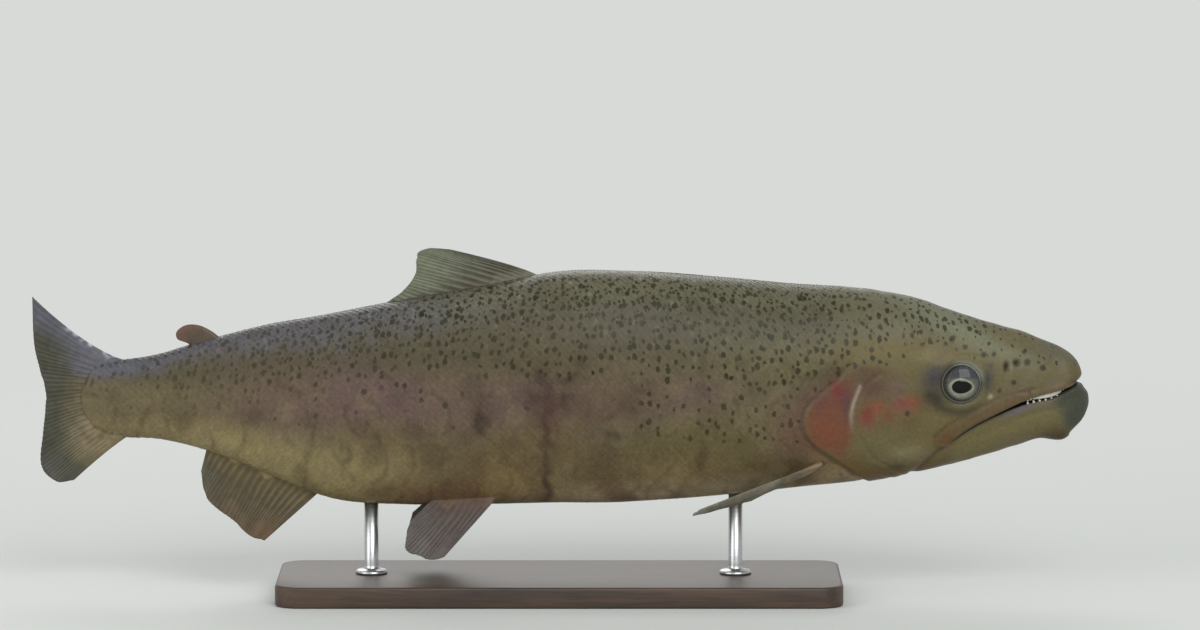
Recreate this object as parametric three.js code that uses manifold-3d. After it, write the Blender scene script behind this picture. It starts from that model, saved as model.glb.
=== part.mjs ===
// A large male rainbow trout with a hooked jaw, at life size, held on a plain display stand.
// Millimetres, +Z up, head towards +X. The fish is shaped round its own long axis, from mid-length,
// then bent at the tail and lifted onto the stand, whose underside has the origin at its middle.
import * as THREE from 'three';
import { mergeVertices } from 'three/addons/utils/BufferGeometryUtils.js';
import Module from 'manifold-3d';

const wasm = await Module();
wasm.setup();

// Driving dimensions of the fish.
const HALF_LENGTH = 300; // mid-length to the lower jaw's tip, and to the tail fin's upper tip
const AXIS_HEIGHT = 115; // the long axis above the floor
const CUT = 0.3; // width of the fine cut between neighbouring parts
const FULLNESS = 0.82; // below 1 the sides of a cross-section are fuller than an ellipse's
const BROADEST = 0.06; // the broadest height, above the middle, as a share of the depth
const TAIL_SWING = 15; // how far the tail fin's tip swings to the fish's left
const TAIL_SWING_FROM = -40; // where along the body the swing starts
const CAP_AT = 284; // ahead of this station the snout and the jaw's tip are one rounded cap
const JAW_TUCK = 0.12; // the lower jaw is narrower than the snout by this share
const TUCK_ALONG = { from: 205, to: 245 }; // along the head, the tuck comes in between these
const TUCK_BELOW = { from: -1.5, to: 3 }; // and below the mouth's line between these
const VENT_AT = -125; // the trunk ends and the tail begins
const PLATE_DEPTH = 4; // thickness of the gill covers and of the upper jaw's side plates
const GILL_COVER_RISE = 0.9; // a gill cover stands proud of the head by this much
const UPPER_JAW_RISE = 0.5; // and an upper jaw's plate by this much
const PLATE_TO_MIDDLE = 2; // no plate comes nearer than this to the fish's middle plane

// How finely the faces are cut.
const RING_SPACING = 14;
const RING_SIDES = 24;
const CAP_RINGS = 4;
const LINE_STEPS = { collar: 30, mouth: 16, gillCover: 10, jawPlate: 14, jawPlateLip: 10 };
const THINNEST = 0.5; // a shrunk body keeps at least this share of its half-width
const NEARBY = 1e-3; // a small step along a fin's curves, to find their direction
const FAR = 400; // beyond the fish lengthways
const WIDE = 80; // beyond it sideways and up and down

// The eye: a flattened ball seated in a socket, with its equator just under the skin.
const EYE = {
  at: 226.7,
  height: 8.6,
  radius: 11.6,
  bulge: 6,
  from: 19,
  opening: 10.4,
  flare: 1,
  sides: 14,
  bands: 8,
  openingSides: 18,
};

// The stand: a flat base and two short rods.
const BASE = { length: 320, width: 112, thickness: 12, corner: 14, bevel: 1.5, cornerSteps: 4 };
const ROD = { radius: 4, places: { front: 100, rear: -107 }, sides: 24 };

// Cross-sections from the tail to the snout: heights of the back and belly, and half the width.
const BODY = [
  { at: -272, back: 4, belly: -11, side: 0.9 },
  { at: -267, back: 12, belly: -18.5, side: 2.6 },
  { at: -260, back: 17, belly: -23.5, side: 5 },
  { at: -247, back: 18.7, belly: -25.5, side: 7.6 },
  { at: -230, back: 21.5, belly: -26.5, side: 9.2 },
  { at: -200, back: 30.5, belly: -33, side: 12 },
  { at: -165, back: 39.5, belly: -46.5, side: 16.5 },
  { at: -130, back: 45.5, belly: -59.5, side: 21.5 },
  { at: -90, back: 53.5, belly: -63, side: 27 },
  { at: -45, back: 61.5, belly: -62.7, side: 32 },
  { at: 0, back: 70, belly: -62, side: 35.5 },
  { at: 45, back: 70, belly: -61, side: 36.5 },
  { at: 90, back: 66.8, belly: -57.5, side: 36 },
  { at: 130, back: 63, belly: -53.5, side: 34.8 },
  { at: 158, back: 61.3, belly: -50.8, side: 33.3 },
  { at: 182, back: 58.3, belly: -47.5, side: 30.8 },
  { at: 205, back: 53.2, belly: -43.2, side: 27.3 },
  { at: 227, back: 45.6, belly: -38.3, side: 23.6 },
  { at: 248, back: 39, belly: -32.4, side: 20.8 },
  { at: 262, back: 35.3, belly: -27.9, side: 18.6 },
  { at: 272, back: 31.4, belly: -24.8, side: 16.6 },
  { at: CAP_AT, back: 26.5, belly: -26.2, side: 13.4 },
];

// The front of the head in profile, from the chin up: how far forward it reaches at each height.
// The lower jaw's hooked tip stands ahead of the snout, with the mouth's notch between them.
const NOTCH_HEIGHT = 7.4;
const FRONT = [
  { at: -26.2, reach: CAP_AT },
  { at: -25, reach: 287.6 },
  { at: -22, reach: 289.4 },
  { at: -14.5, reach: 296.4 },
  { at: -8, reach: 299.4 },
  { at: -3, reach: HALF_LENGTH },
  { at: 2, reach: 298.8 },
  { at: 5.2, reach: 296 },
  { at: NOTCH_HEIGHT, reach: 292.8 },
  { at: 9.6, reach: 294.6 },
  { at: 13.7, reach: 295.4 },
  { at: 19.4, reach: 292.8 },
  { at: 24, reach: 288.2 },
  { at: 26.5, reach: CAP_AT },
];

// The mouth from its corner to the front: height of the line between the lips, and how far it opens.
const MOUTH = [
  { at: 219, line: -27, open: 0.3 },
  { at: 231, line: -17.9, open: 0.4 },
  { at: 240, line: -12.8, open: 0.7 },
  { at: 249, line: -8.9, open: 1.4 },
  { at: 259, line: -4.6, open: 2.4 },
  { at: 269, line: -1.6, open: 3.8 },
  { at: 282, line: 1.3, open: 4.3 },
  { at: 290, line: 5, open: 1.6 },
  { at: 294, line: 7.6, open: 0.5 },
  { at: 302, line: 12.5, open: 0.5 },
];
const MOUTH_CORNER = MOUTH[0].at;
const MOUTH_FRONT = MOUTH[MOUTH.length - 1].at;
const JAW_ROOT = [[211, -33.5], [194, -56]]; // the lower jaw's rear edge, below the mouth's corner

// The rear edge of the head and of the gill covers, from the nape to the throat.
const COLLAR = [
  { at: -70, reach: 196 },
  { at: -50, reach: 176 },
  { at: -40, reach: 162.5 },
  { at: -33, reach: 153 },
  { at: -27, reach: 145 },
  { at: -20, reach: 139.5 },
  { at: -12, reach: 137.6 },
  { at: -4, reach: 140 },
  { at: 4, reach: 148 },
  { at: 12, reach: 157 },
  { at: 24, reach: 165 },
  { at: 45, reach: 171 },
  { at: 80, reach: 176 },
];

// The front edge of a gill cover, and the outline of an upper jaw's side plate, seen from the side.
const GILL_COVER_TOP = 20;
const GILL_COVER_BOTTOM = -40;
const GILL_COVER_FRONT = [[183, 15], [172, 7], [167.5, -6], [169, -20], [177, -33], [187, -42]];
const JAW_PLATE_TOP = [[264, 3.6], [252, 1.4], [240, -4.6], [228, -11.8], [217, -18], [212.5, -23]];
const JAW_PLATE_END = [[215, -26.5], [218.5, -26.2]];
const JAW_PLATE_LIP = { from: 222, to: 262 }; // the part of the lip that its lower edge follows
const LIP_MARGIN = 0.9; // the plate's lower edge over the lip

// Teeth along the open part of the mouth. Ahead of the cap the two rows close in towards the tip.
const TOOTH = {
  height: 2.2,
  radius: 0.75,
  sides: 4,
  inset: 3.2,
  closing: 1.4,
  sunk: 0.8,
  pitch: 3,
  from: 268,
  to: 287,
};

const COLOURS = {
  back: 0x5f5c46,
  head: 0x6b6346,
  jaw: 0x6d6648,
  gillCover: 0x7a4a35,
  fin: 0x66604a,
  paleFin: 0x7c756c,
  eye: 0x2c2f28,
  base: 0x2b2622,
  rod: 0x9a9c9e,
};

// Value of a column at a station: a cubic through the rows, with each slope from its neighbours.
function along(rows, column, at) {
  const last = rows.length - 1;
  const x = THREE.MathUtils.clamp(at, rows[0].at, rows[last].at);
  let i = 0;
  while (i < last - 1 && x > rows[i + 1].at) i += 1;
  const rise = (k) => (rows[k + 1][column] - rows[k][column]) / (rows[k + 1].at - rows[k].at);
  const slope = (k) => {
    if (k === 0) return rise(0);
    if (k === last) return rise(last - 1);
    const before = rows[k].at - rows[k - 1].at;
    const after = rows[k + 1].at - rows[k].at;
    return (rise(k - 1) * after + rise(k) * before) / (before + after);
  };
  const step = rows[i + 1].at - rows[i].at;
  const t = (x - rows[i].at) / step;
  const t2 = t * t;
  const t3 = t2 * t;
  return (2 * t3 - 3 * t2 + 1) * rows[i][column]
    + (t3 - 2 * t2 + t) * step * slope(i)
    + (3 * t2 - 2 * t3) * rows[i + 1][column]
    + (t3 - t2) * step * slope(i + 1);
}

const steps = (from, to, count) => Array.from(
  { length: count + 1 },
  (_, i) => from + ((to - from) * i) / count,
);
const ramp = (x, { from, to }) => THREE.MathUtils.smoothstep(x, from, to);

// The cross-section at a station, grown outwards by a margin: its heights and half-width.
function frameAt(at, grow) {
  const back = along(BODY, 'back', at);
  const belly = along(BODY, 'belly', at);
  return {
    top: back + grow,
    bottom: belly - grow,
    middle: (back + belly) / 2 + BROADEST * (back - belly),
    side: along(BODY, 'side', at) + grow,
  };
}

// Below the mouth's line the jaw is tucked in under the snout's overhanging lip.
function tuck(at, z) {
  const under = ramp(along(MOUTH, 'line', at) - z, TUCK_BELOW);
  return 1 - JAW_TUCK * ramp(at, TUCK_ALONG) * under;
}

// Half-width of the cross-section at a height.
function halfWidth(at, z, grow = 0) {
  const f = frameAt(at, grow);
  const share = (z - f.middle) / (z > f.middle ? f.top - f.middle : f.middle - f.bottom);
  const level = Math.sqrt(Math.max(0, 1 - share * share));
  return f.side * level ** FULLNESS * tuck(at, z);
}

// A point of the cross-section: the angle runs from the back, over the left side, to the belly.
function sectionPoint(at, angle, grow) {
  const f = frameAt(at, grow);
  const c = Math.cos(angle);
  const s = Math.sin(angle);
  const z = f.middle + (c > 0 ? f.top - f.middle : f.middle - f.bottom) * c;
  const y = f.side * Math.sign(s) * Math.abs(s) ** FULLNESS * tuck(at, z);
  return new THREE.Vector3(at, Math.abs(s) < 1e-9 ? 0 : y, z);
}

// A point of the rounded front: it shrinks towards the notch, and bulges to the profile's reach.
function capPoint(angle, share, grow) {
  const rim = sectionPoint(CAP_AT, angle, grow);
  const z = NOTCH_HEIGHT + (rim.z - NOTCH_HEIGHT) * share;
  const y = rim.y * share;
  const wide = Math.max(halfWidth(CAP_AT, z, grow), 1e-6);
  const across = Math.min(1, Math.abs(y) / wide);
  const reach = along(FRONT, 'reach', z) + grow;
  return new THREE.Vector3(CAP_AT + (reach - CAP_AT) * Math.sqrt(1 - across * across), y, z);
}

// A closed geometry from rings of equal count, with one point closing each end.
function skinRings(rings, firstPoint, lastPoint) {
  const sides = rings[0].length;
  const points = [firstPoint, ...rings.flat(), lastPoint];
  const lastIndex = points.length - 1;
  const faces = [];
  for (let k = 0; k < sides; k += 1) {
    const next = (k + 1) % sides;
    faces.push(0, 1 + k, 1 + next);
    for (let r = 0; r < rings.length - 1; r += 1) {
      const a = 1 + r * sides;
      const b = a + sides;
      faces.push(a + k, b + k, a + next);
      faces.push(a + next, b + k, b + next);
    }
    const end = 1 + (rings.length - 1) * sides;
    faces.push(end + k, lastIndex, end + next);
  }
  const geometry = new THREE.BufferGeometry().setFromPoints(points);
  geometry.setIndex(faces);
  return geometry;
}

// The whole fish without fins, grown outwards (or shrunk) by a margin.
function bodyGeometry(grow) {
  const angles = Array.from({ length: RING_SIDES }, (_, k) => (k / RING_SIDES) * 2 * Math.PI);
  const ringPlaces = BODY.slice(1).flatMap((row, i) => {
    const from = BODY[i].at;
    const count = Math.ceil((row.at - from) / RING_SPACING);
    return steps(from, row.at, count).slice(1);
  });
  const tailEnd = BODY[0].at;
  const rings = [tailEnd, ...ringPlaces].map((at) => {
    const margin = Math.max(grow, -THINNEST * frameAt(at, 0).side);
    return angles.map((angle) => sectionPoint(at, angle, margin));
  });
  for (let r = 1; r < CAP_RINGS; r += 1) {
    const share = Math.cos((r / CAP_RINGS) * (Math.PI / 2));
    rings.push(angles.map((angle) => capPoint(angle, share, grow)));
  }
  const tailMiddle = new THREE.Vector3(tailEnd - Math.max(grow, 0), 0, frameAt(tailEnd, 0).middle);
  const notch = new THREE.Vector3(along(FRONT, 'reach', NOTCH_HEIGHT) + grow, 0, NOTCH_HEIGHT);
  return skinRings(rings, tailMiddle, notch);
}

// Geometry to solid and back.
function solidOf(geometry) {
  const bare = geometry.clone();
  bare.deleteAttribute('normal');
  bare.deleteAttribute('uv');
  const merged = mergeVertices(bare, 1e-4);
  return new wasm.Manifold(new wasm.Mesh({
    numProp: 3,
    vertProperties: new Float32Array(merged.attributes.position.array),
    triVerts: new Uint32Array(merged.index.array),
  }));
}

function geometryOf(solid) {
  const mesh = solid.getMesh();
  const geometry = new THREE.BufferGeometry();
  geometry.setAttribute('position', new THREE.BufferAttribute(new Float32Array(mesh.vertProperties), 3));
  geometry.setIndex(new THREE.BufferAttribute(new Uint32Array(mesh.triVerts), 1));
  return geometry;
}

// A side-view outline carried across the fish, between two distances from its middle plane.
function slab(outline, fromY, toY) {
  const shape = new THREE.Shape(outline.map(([x, z]) => new THREE.Vector2(x, z)));
  const geometry = new THREE.ExtrudeGeometry(shape, { depth: toY - fromY, bevelEnabled: false, steps: 1 });
  geometry.rotateX(Math.PI / 2);
  geometry.translate(0, toY, 0);
  return solidOf(geometry);
}

// A smooth run of points through a few side-view points.
function smooth(points, count) {
  const curve = new THREE.SplineCurve(points.map(([x, z]) => new THREE.Vector2(x, z)));
  return curve.getPoints(count).map((p) => [p.x, p.y]);
}

// An outline moved outwards by a distance, with mitred corners.
function outset(outline, distance) {
  const points = outline.map(([x, z]) => new THREE.Vector2(x, z));
  const turn = Math.sign(THREE.ShapeUtils.area(points));
  const normal = (a, b) => new THREE.Vector2(b.y - a.y, a.x - b.x).normalize().multiplyScalar(turn);
  return points.map((point, i) => {
    const before = normal(points[(i + points.length - 1) % points.length], point);
    const after = normal(point, points[(i + 1) % points.length]);
    const mitre = before.clone().add(after).multiplyScalar(distance / (1 + before.dot(after)));
    return [point.x + mitre.x, point.y + mitre.y];
  });
}

const whole = solidOf(bodyGeometry(0));
const cleared = solidOf(bodyGeometry(CUT));

// The collar's line, and what lies ahead of it or behind it.
const collarBottom = COLLAR[0].at;
const collarTop = COLLAR[COLLAR.length - 1].at;
const collarHeights = steps(collarBottom, collarTop, LINE_STEPS.collar);
const collarLine = collarHeights.map((z) => [along(COLLAR, 'reach', z), z]);
const shifted = (line, distance) => line.map(([x, z]) => [x + distance, z]);
const aheadOfCollar = slab(
  [...shifted(collarLine, CUT / 2), [FAR, collarTop], [FAR, collarBottom]],
  -WIDE,
  WIDE,
);
const behindCollar = slab(
  [[-FAR, collarBottom], ...shifted(collarLine, -CUT / 2), [-FAR, collarTop]],
  -WIDE,
  WIDE,
);

// The lower jaw's outline, under the lower lip, and the same with the mouth's opening and cuts added.
const mouthSteps = steps(MOUTH_CORNER, MOUTH_FRONT, LINE_STEPS.mouth);
const lip = (x, side) => along(MOUTH, 'line', x) + (side * along(MOUTH, 'open', x)) / 2;
const underJaw = [[FAR, -WIDE], [JAW_ROOT[1][0], -WIDE], JAW_ROOT[1], JAW_ROOT[0]];
const lowerLip = mouthSteps.map((x) => [x, lip(x, -1)]);
const upperLip = mouthSteps.map((x) => [x, lip(x, 1)]);
const jawOutline = [...lowerLip, [FAR, lip(MOUTH_FRONT, -1)], ...underJaw];
const rearward = ([x, z]) => [x - CUT, z];
const jawClearOutline = [
  rearward([MOUTH_CORNER, lip(MOUTH_CORNER, 1)]),
  ...upperLip,
  [FAR, lip(MOUTH_FRONT, 1)],
  underJaw[0],
  ...underJaw.slice(1).map(rearward),
];

// A thin plate of the head's side, seen from the side as an outline: the plate and its bed.
function plate(outline, side, rise) {
  const near = side > 0 ? PLATE_TO_MIDDLE : -WIDE;
  const far = side > 0 ? WIDE : -PLATE_TO_MIDDLE;
  const inner = solidOf(bodyGeometry(-PLATE_DEPTH));
  const bedFloor = solidOf(bodyGeometry(-PLATE_DEPTH - CUT));
  return {
    solid: solidOf(bodyGeometry(rise)).intersect(slab(outline, near, far)).subtract(inner),
    bed: slab(outset(outline, CUT), near, far).subtract(bedFloor),
  };
}

const gillCoverRear = shifted(
  collarLine.filter(([, z]) => z >= GILL_COVER_BOTTOM && z <= GILL_COVER_TOP),
  CUT / 2,
);
const jawPlateLip = steps(JAW_PLATE_LIP.from, JAW_PLATE_LIP.to, LINE_STEPS.jawPlateLip);
const gillCoverOutline = [...smooth(GILL_COVER_FRONT, LINE_STEPS.gillCover), ...gillCoverRear];
const jawPlateOutline = [
  ...smooth([...JAW_PLATE_TOP, ...JAW_PLATE_END], LINE_STEPS.jawPlate),
  ...jawPlateLip.map((x) => [x, lip(x, 1) + LIP_MARGIN]),
];

// The eyeball, and the socket that holds it with a round opening in the skin.
function eyeball(side, grow) {
  const ball = new THREE.SphereGeometry(1, EYE.sides, EYE.bands);
  ball.rotateX(Math.PI / 2);
  ball.scale(EYE.radius + grow, EYE.bulge + grow, EYE.radius + grow);
  ball.translate(EYE.at, side * EYE.from, EYE.height);
  return solidOf(ball);
}

function socket(side) {
  const outer = EYE.opening + EYE.flare;
  const opening = new THREE.CylinderGeometry(outer, EYE.opening, EYE.bulge * 2, EYE.openingSides);
  if (side < 0) opening.rotateX(Math.PI);
  opening.translate(EYE.at, side * (EYE.from + EYE.bulge), EYE.height);
  return eyeball(side, CUT).add(solidOf(opening));
}

// A row of small cones standing in the jaw along its edge: up is -1 where they hang from the snout.
function teeth(up) {
  let row = null;
  for (let x = TOOTH.from + (up > 0 ? TOOTH.pitch / 2 : 0); x <= TOOTH.to; x += TOOTH.pitch) {
    for (const side of [-1, 1]) {
      const cone = new THREE.ConeGeometry(TOOTH.radius, TOOTH.height + TOOTH.sunk, TOOTH.sides);
      cone.rotateX((up * Math.PI) / 2);
      const z = lip(x, -up) + up * (TOOTH.height - TOOTH.sunk) / 2;
      const inset = TOOTH.inset + Math.max(0, x - CAP_AT) * TOOTH.closing;
      cone.translate(x, side * (halfWidth(Math.min(x, CAP_AT), z) - inset), z);
      row = row ? row.add(solidOf(cone)) : solidOf(cone);
    }
  }
  return row;
}

// A fin: rays fan from the points of its base to those of its edge, as a plate that thins outwards.
// Cup bows it to its left, and the base runs inside the body, which is then cut away.
function fin({ base, edge, thickBase, thickEdge, cup = 0, rays = 11, bands = 3 }) {
  const baseCurve = new THREE.CatmullRomCurve3(base.map((p) => new THREE.Vector3(...p)));
  const edgeCurve = new THREE.CatmullRomCurve3(edge.map((p) => new THREE.Vector3(...p)));
  const middle = (u, v) => baseCurve.getPoint(u).lerp(edgeCurve.getPoint(u), v);
  const sheets = [-1, 1].map((side) => {
    const rows = [];
    for (let i = 0; i <= rays; i += 1) {
      const u = THREE.MathUtils.clamp(i / rays, NEARBY, 1 - NEARBY);
      const row = [];
      for (let j = 0; j <= bands; j += 1) {
        const v = j / bands;
        const across = middle(u + NEARBY, 0.5).sub(middle(u - NEARBY, 0.5));
        const outwards = middle(u, 1).sub(middle(u, 0));
        const normal = across.cross(outwards).normalize();
        const thick = THREE.MathUtils.lerp(thickBase, thickEdge, v);
        const bow = cup * Math.sin(Math.PI * v) * Math.sin(Math.PI * u);
        row.push(middle(i / rays, v).addScaledVector(normal, bow + (side * thick) / 2));
      }
      rows.push(row);
    }
    return rows;
  });
  const [under, over] = sheets;
  const rings = over.map((row, i) => [...row, ...under[i].slice().reverse()]);
  return solidOf(skinRings(rings, middle(0, 0.5), middle(1, 0.5))).subtract(cleared);
}

const mirrored = (points) => points.map(([x, y, z]) => [x, -y, z]);

const FINS = {
  dorsal_fin: {
    base: [[-10, 0, 66], [-54, 0, 55], [-97, 0, 47]],
    edge: [[-62, 0, 82.4], [-74, 0, 83], [-80.5, 0, 80], [-81.5, 0, 69], [-87, 0, 60.5], [-98.5, 0, 51.5]],
    thickBase: 3.2,
    thickEdge: 0.9,
    cup: 1.2,
  },
  adipose_fin: {
    base: [[-192, 0, 30], [-206, 0, 26]],
    edge: [[-201, 0, 39.2], [-212, 0, 38], [-218, 0, 31.5], [-214.5, 0, 28.6], [-208, 0, 29]],
    thickBase: 3.4,
    thickEdge: 1.6,
    rays: 10,
    bands: 3,
  },
  tail_fin: {
    base: [[-250, 0, 16], [-252, 0, -3], [-248, 0, -22]],
    edge: [
      [-300, 0, 54], [-299, 0, 26], [-295.5, 0, 10], [-293, 0, -8], [-294.5, 0, -24],
      [-295.5, 0, -43], [-288, 0, -52.2], [-277, 0, -51],
    ],
    thickBase: 4,
    thickEdge: 0.9,
    cup: 3,
    rays: 16,
    bands: 4,
  },
  anal_fin: {
    base: [[-134, 0, -54], [-168, 0, -41], [-200, 0, -29]],
    edge: [[-168, 0, -84.5], [-176, 0, -82], [-185, 0, -74], [-201, 0, -60], [-204, 0, -45]],
    thickBase: 3.2,
    thickEdge: 0.9,
    cup: -1.5,
  },
  pelvic_fin_left: {
    base: [[-33, 13, -55], [-70, 10, -57]],
    edge: [[-65, 25, -90], [-73, 25, -91.5], [-87, 21, -86], [-84, 15, -70]],
    thickBase: 3,
    thickEdge: 0.9,
    cup: 1.5,
    rays: 10,
  },
  pectoral_fin_left: {
    base: [[149, 25, -36], [139, 20, -43]],
    edge: [[79, 47, -60], [75, 44, -63.5], [88, 34, -62], [108, 25, -58]],
    thickBase: 3,
    thickEdge: 0.9,
    cup: 2,
    rays: 10,
    bands: 5,
  },
};
for (const pair of ['pelvic_fin', 'pectoral_fin']) {
  const left = FINS[`${pair}_left`];
  FINS[`${pair}_right`] = {
    ...left,
    base: mirrored(left.base),
    edge: mirrored(left.edge),
    cup: -left.cup,
  };
}

// The tail swings to the left along a parabola, and everything stands on the stand's axis height.
function swing(at) {
  const share = Math.max(0, (TAIL_SWING_FROM - at) / (TAIL_SWING_FROM + HALF_LENGTH));
  return TAIL_SWING * share * share;
}

function posed(solid) {
  const geometry = geometryOf(solid);
  const position = geometry.attributes.position;
  for (let i = 0; i < position.count; i += 1) {
    position.setY(i, position.getY(i) + swing(position.getX(i)));
    position.setZ(i, position.getZ(i) + AXIS_HEIGHT);
  }
  return geometry;
}

const trout = new THREE.Group();

function add(name, geometry, colour, roughness = 0.45, metalness = 0) {
  const flat = geometry.index ? geometry.toNonIndexed() : geometry;
  flat.computeVertexNormals();
  const mesh = new THREE.Mesh(flat, new THREE.MeshStandardMaterial({ color: colour, roughness, metalness }));
  mesh.name = name;
  trout.add(mesh);
}

function addHead() {
  let head = whole.intersect(aheadOfCollar).subtract(slab(jawClearOutline, -WIDE, WIDE));
  for (const [name, side] of [['left', 1], ['right', -1]]) {
    const cover = plate(gillCoverOutline, side, GILL_COVER_RISE);
    const jawPlate = plate(jawPlateOutline, side, UPPER_JAW_RISE);
    head = head.subtract(cover.bed).subtract(jawPlate.bed).subtract(socket(side));
    add(`gill_cover_${name}`, posed(cover.solid), COLOURS.gillCover);
    add(`upper_jaw_plate_${name}`, posed(jawPlate.solid), COLOURS.jaw);
    add(`eye_${name}`, posed(eyeball(side, 0)), COLOURS.eye, 0.1);
  }
  add('head', posed(head.add(teeth(-1))), COLOURS.head);
  const jaw = whole.intersect(slab(jawOutline, -WIDE, WIDE));
  add('lower_jaw', posed(jaw.add(teeth(1))), COLOURS.jaw);
}

function addTrunkAndTail() {
  const trunkBox = [[VENT_AT + CUT / 2, -WIDE], [FAR, -WIDE], [FAR, WIDE], [VENT_AT + CUT / 2, WIDE]];
  const tailBox = [[-FAR, -WIDE], [VENT_AT - CUT / 2, -WIDE], [VENT_AT - CUT / 2, WIDE], [-FAR, WIDE]];
  const trunk = whole.intersect(behindCollar).intersect(slab(trunkBox, -WIDE, WIDE));
  add('trunk', posed(trunk), COLOURS.back);
  add('tail', posed(whole.intersect(slab(tailBox, -WIDE, WIDE))), COLOURS.back);
}

function addFins() {
  for (const [name, form] of Object.entries(FINS)) {
    add(name, posed(fin(form)), name.startsWith('pectoral') ? COLOURS.paleFin : COLOURS.fin, 0.5);
  }
}

function addStand() {
  const margin = BASE.corner + BASE.bevel;
  const half = { x: BASE.length / 2 - margin, y: BASE.width / 2 - margin };
  const outline = new THREE.Shape();
  outline.absarc(half.x, half.y, BASE.corner, 0, Math.PI / 2);
  outline.absarc(-half.x, half.y, BASE.corner, Math.PI / 2, Math.PI);
  outline.absarc(-half.x, -half.y, BASE.corner, Math.PI, Math.PI * 1.5);
  outline.absarc(half.x, -half.y, BASE.corner, Math.PI * 1.5, Math.PI * 2);
  const base = new THREE.ExtrudeGeometry(outline, {
    depth: BASE.thickness - BASE.bevel * 2,
    bevelSize: BASE.bevel,
    bevelThickness: BASE.bevel,
    bevelSegments: 1,
    curveSegments: BASE.cornerSteps,
  });
  base.translate(0, 0, BASE.bevel);
  add('stand_base', base, COLOURS.base, 0.4);
  for (const [name, at] of Object.entries(ROD.places)) {
    const bottom = BASE.thickness + CUT - AXIS_HEIGHT;
    const top = along(BODY, 'belly', at) + ROD.radius;
    const rod = new THREE.CylinderGeometry(ROD.radius, ROD.radius, top - bottom, ROD.sides);
    rod.rotateX(Math.PI / 2);
    rod.translate(at, 0, (top + bottom) / 2);
    add(`stand_rod_${name}`, posed(solidOf(rod).subtract(cleared)), COLOURS.rod, 0.3, 1);
  }
}

addHead();
addTrunkAndTail();
addFins();
addStand();

export default trout;
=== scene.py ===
"""A large male rainbow trout as a life-size museum model, on its plain display stand.

Sizes are millimetres in the fish's own axes: x from mid-length with the head towards +x, y to its
left, z up from its long axis. pose() bends the tail and lifts everything onto the stand.
"""

import math

import bpy
import numpy as np
from mathutils import Matrix


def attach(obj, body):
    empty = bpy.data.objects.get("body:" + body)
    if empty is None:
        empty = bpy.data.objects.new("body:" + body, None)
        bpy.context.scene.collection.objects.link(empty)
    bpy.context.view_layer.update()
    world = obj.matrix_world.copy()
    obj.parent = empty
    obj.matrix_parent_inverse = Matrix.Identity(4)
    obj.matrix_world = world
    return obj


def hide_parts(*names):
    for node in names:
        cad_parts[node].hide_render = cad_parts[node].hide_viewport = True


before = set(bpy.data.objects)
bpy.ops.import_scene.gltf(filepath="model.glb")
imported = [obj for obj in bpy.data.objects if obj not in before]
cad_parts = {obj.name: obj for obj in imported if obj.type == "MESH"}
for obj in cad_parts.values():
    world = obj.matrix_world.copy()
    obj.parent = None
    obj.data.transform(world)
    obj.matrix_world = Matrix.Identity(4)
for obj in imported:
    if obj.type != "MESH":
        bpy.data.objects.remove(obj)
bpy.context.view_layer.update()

# ---- driving dimensions
MM = 0.001
HALF_LENGTH = 300
AXIS_HEIGHT = 115
FULLNESS = 0.82  # below 1 the sides of a cross-section are fuller than an ellipse's
BROADEST = 0.06  # the broadest height, above the middle, as a share of the depth
TAIL_SWING = 15  # how far the tail's tip swings to the left
TAIL_SWING_FROM = -40
CAP_AT = 284  # ahead of this the snout and the jaw's tip are one rounded cap
NOTCH = 7.4  # height of the mouth's front end, between snout and jaw tip
JAW_TUCK = 0.12  # the lower jaw is narrower than the snout by this share
SCALE_DEPTH = 0.35  # the skin lies this far inside the solids where scales cover it

# Stations from the tail to the snout: heights of the back and belly, and half the width.
BODY = np.array([
    (-272, 4, -11, 0.9), (-267, 12, -18.5, 2.6), (-260, 17, -23.5, 5),
    (-247, 18.7, -25.5, 7.6), (-230, 21.5, -26.5, 9.2), (-200, 30.5, -33, 12),
    (-165, 39.5, -46.5, 16.5), (-130, 45.5, -59.5, 21.5), (-90, 53.5, -63, 27),
    (-45, 61.5, -62.7, 32), (0, 70, -62, 35.5), (45, 70, -61, 36.5),
    (90, 66.8, -57.5, 36), (130, 63, -53.5, 34.8), (158, 61.3, -50.8, 33.3),
    (182, 58.3, -47.5, 30.8), (205, 53.2, -43.2, 27.3), (227, 45.6, -38.3, 23.6),
    (248, 39, -32.4, 20.8), (262, 35.3, -27.9, 18.6), (272, 31.4, -24.8, 16.6),
    (CAP_AT, 26.5, -26.2, 13.4),
])
TAIL_END = BODY[0, 0]

# The front in profile, from the chin up: height, and how far forward it reaches.
FRONT = np.array([
    (-26.2, CAP_AT), (-25, 287.6), (-22, 289.4), (-14.5, 296.4), (-8, 299.4),
    (-3, HALF_LENGTH), (2, 298.8), (5.2, 296), (NOTCH, 292.8), (9.6, 294.6),
    (13.7, 295.4), (19.4, 292.8), (24, 288.2), (26.5, CAP_AT),
])

# The mouth from its corner forward: height of the line between the lips, and its opening.
MOUTH = np.array([
    (219, -27, 0.3), (231, -17.9, 0.4), (240, -12.8, 0.7), (249, -8.9, 1.4),
    (259, -4.6, 2.4), (269, -1.6, 3.8), (282, 1.3, 4.3), (290, 5, 1.6),
    (294, 7.6, 0.5), (302, 12.5, 0.5),
])
MOUTH_CORNER = MOUTH[0, 0]

# The rear edge of the gill covers, from the throat to the nape: height, and distance along.
COLLAR = np.array([
    (-70, 196), (-50, 176), (-40, 162.5), (-33, 153), (-27, 145),
    (-20, 139.5), (-12, 137.6), (-4, 140), (4, 148), (12, 157),
    (24, 165), (45, 171), (80, 176),
])

# The lateral line, from the tail to the gill cover.
LATERAL = np.array([(-268, -4), (-200, -1), (-100, 5), (0, 9.5), (100, 12), (165, 15)])

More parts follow.
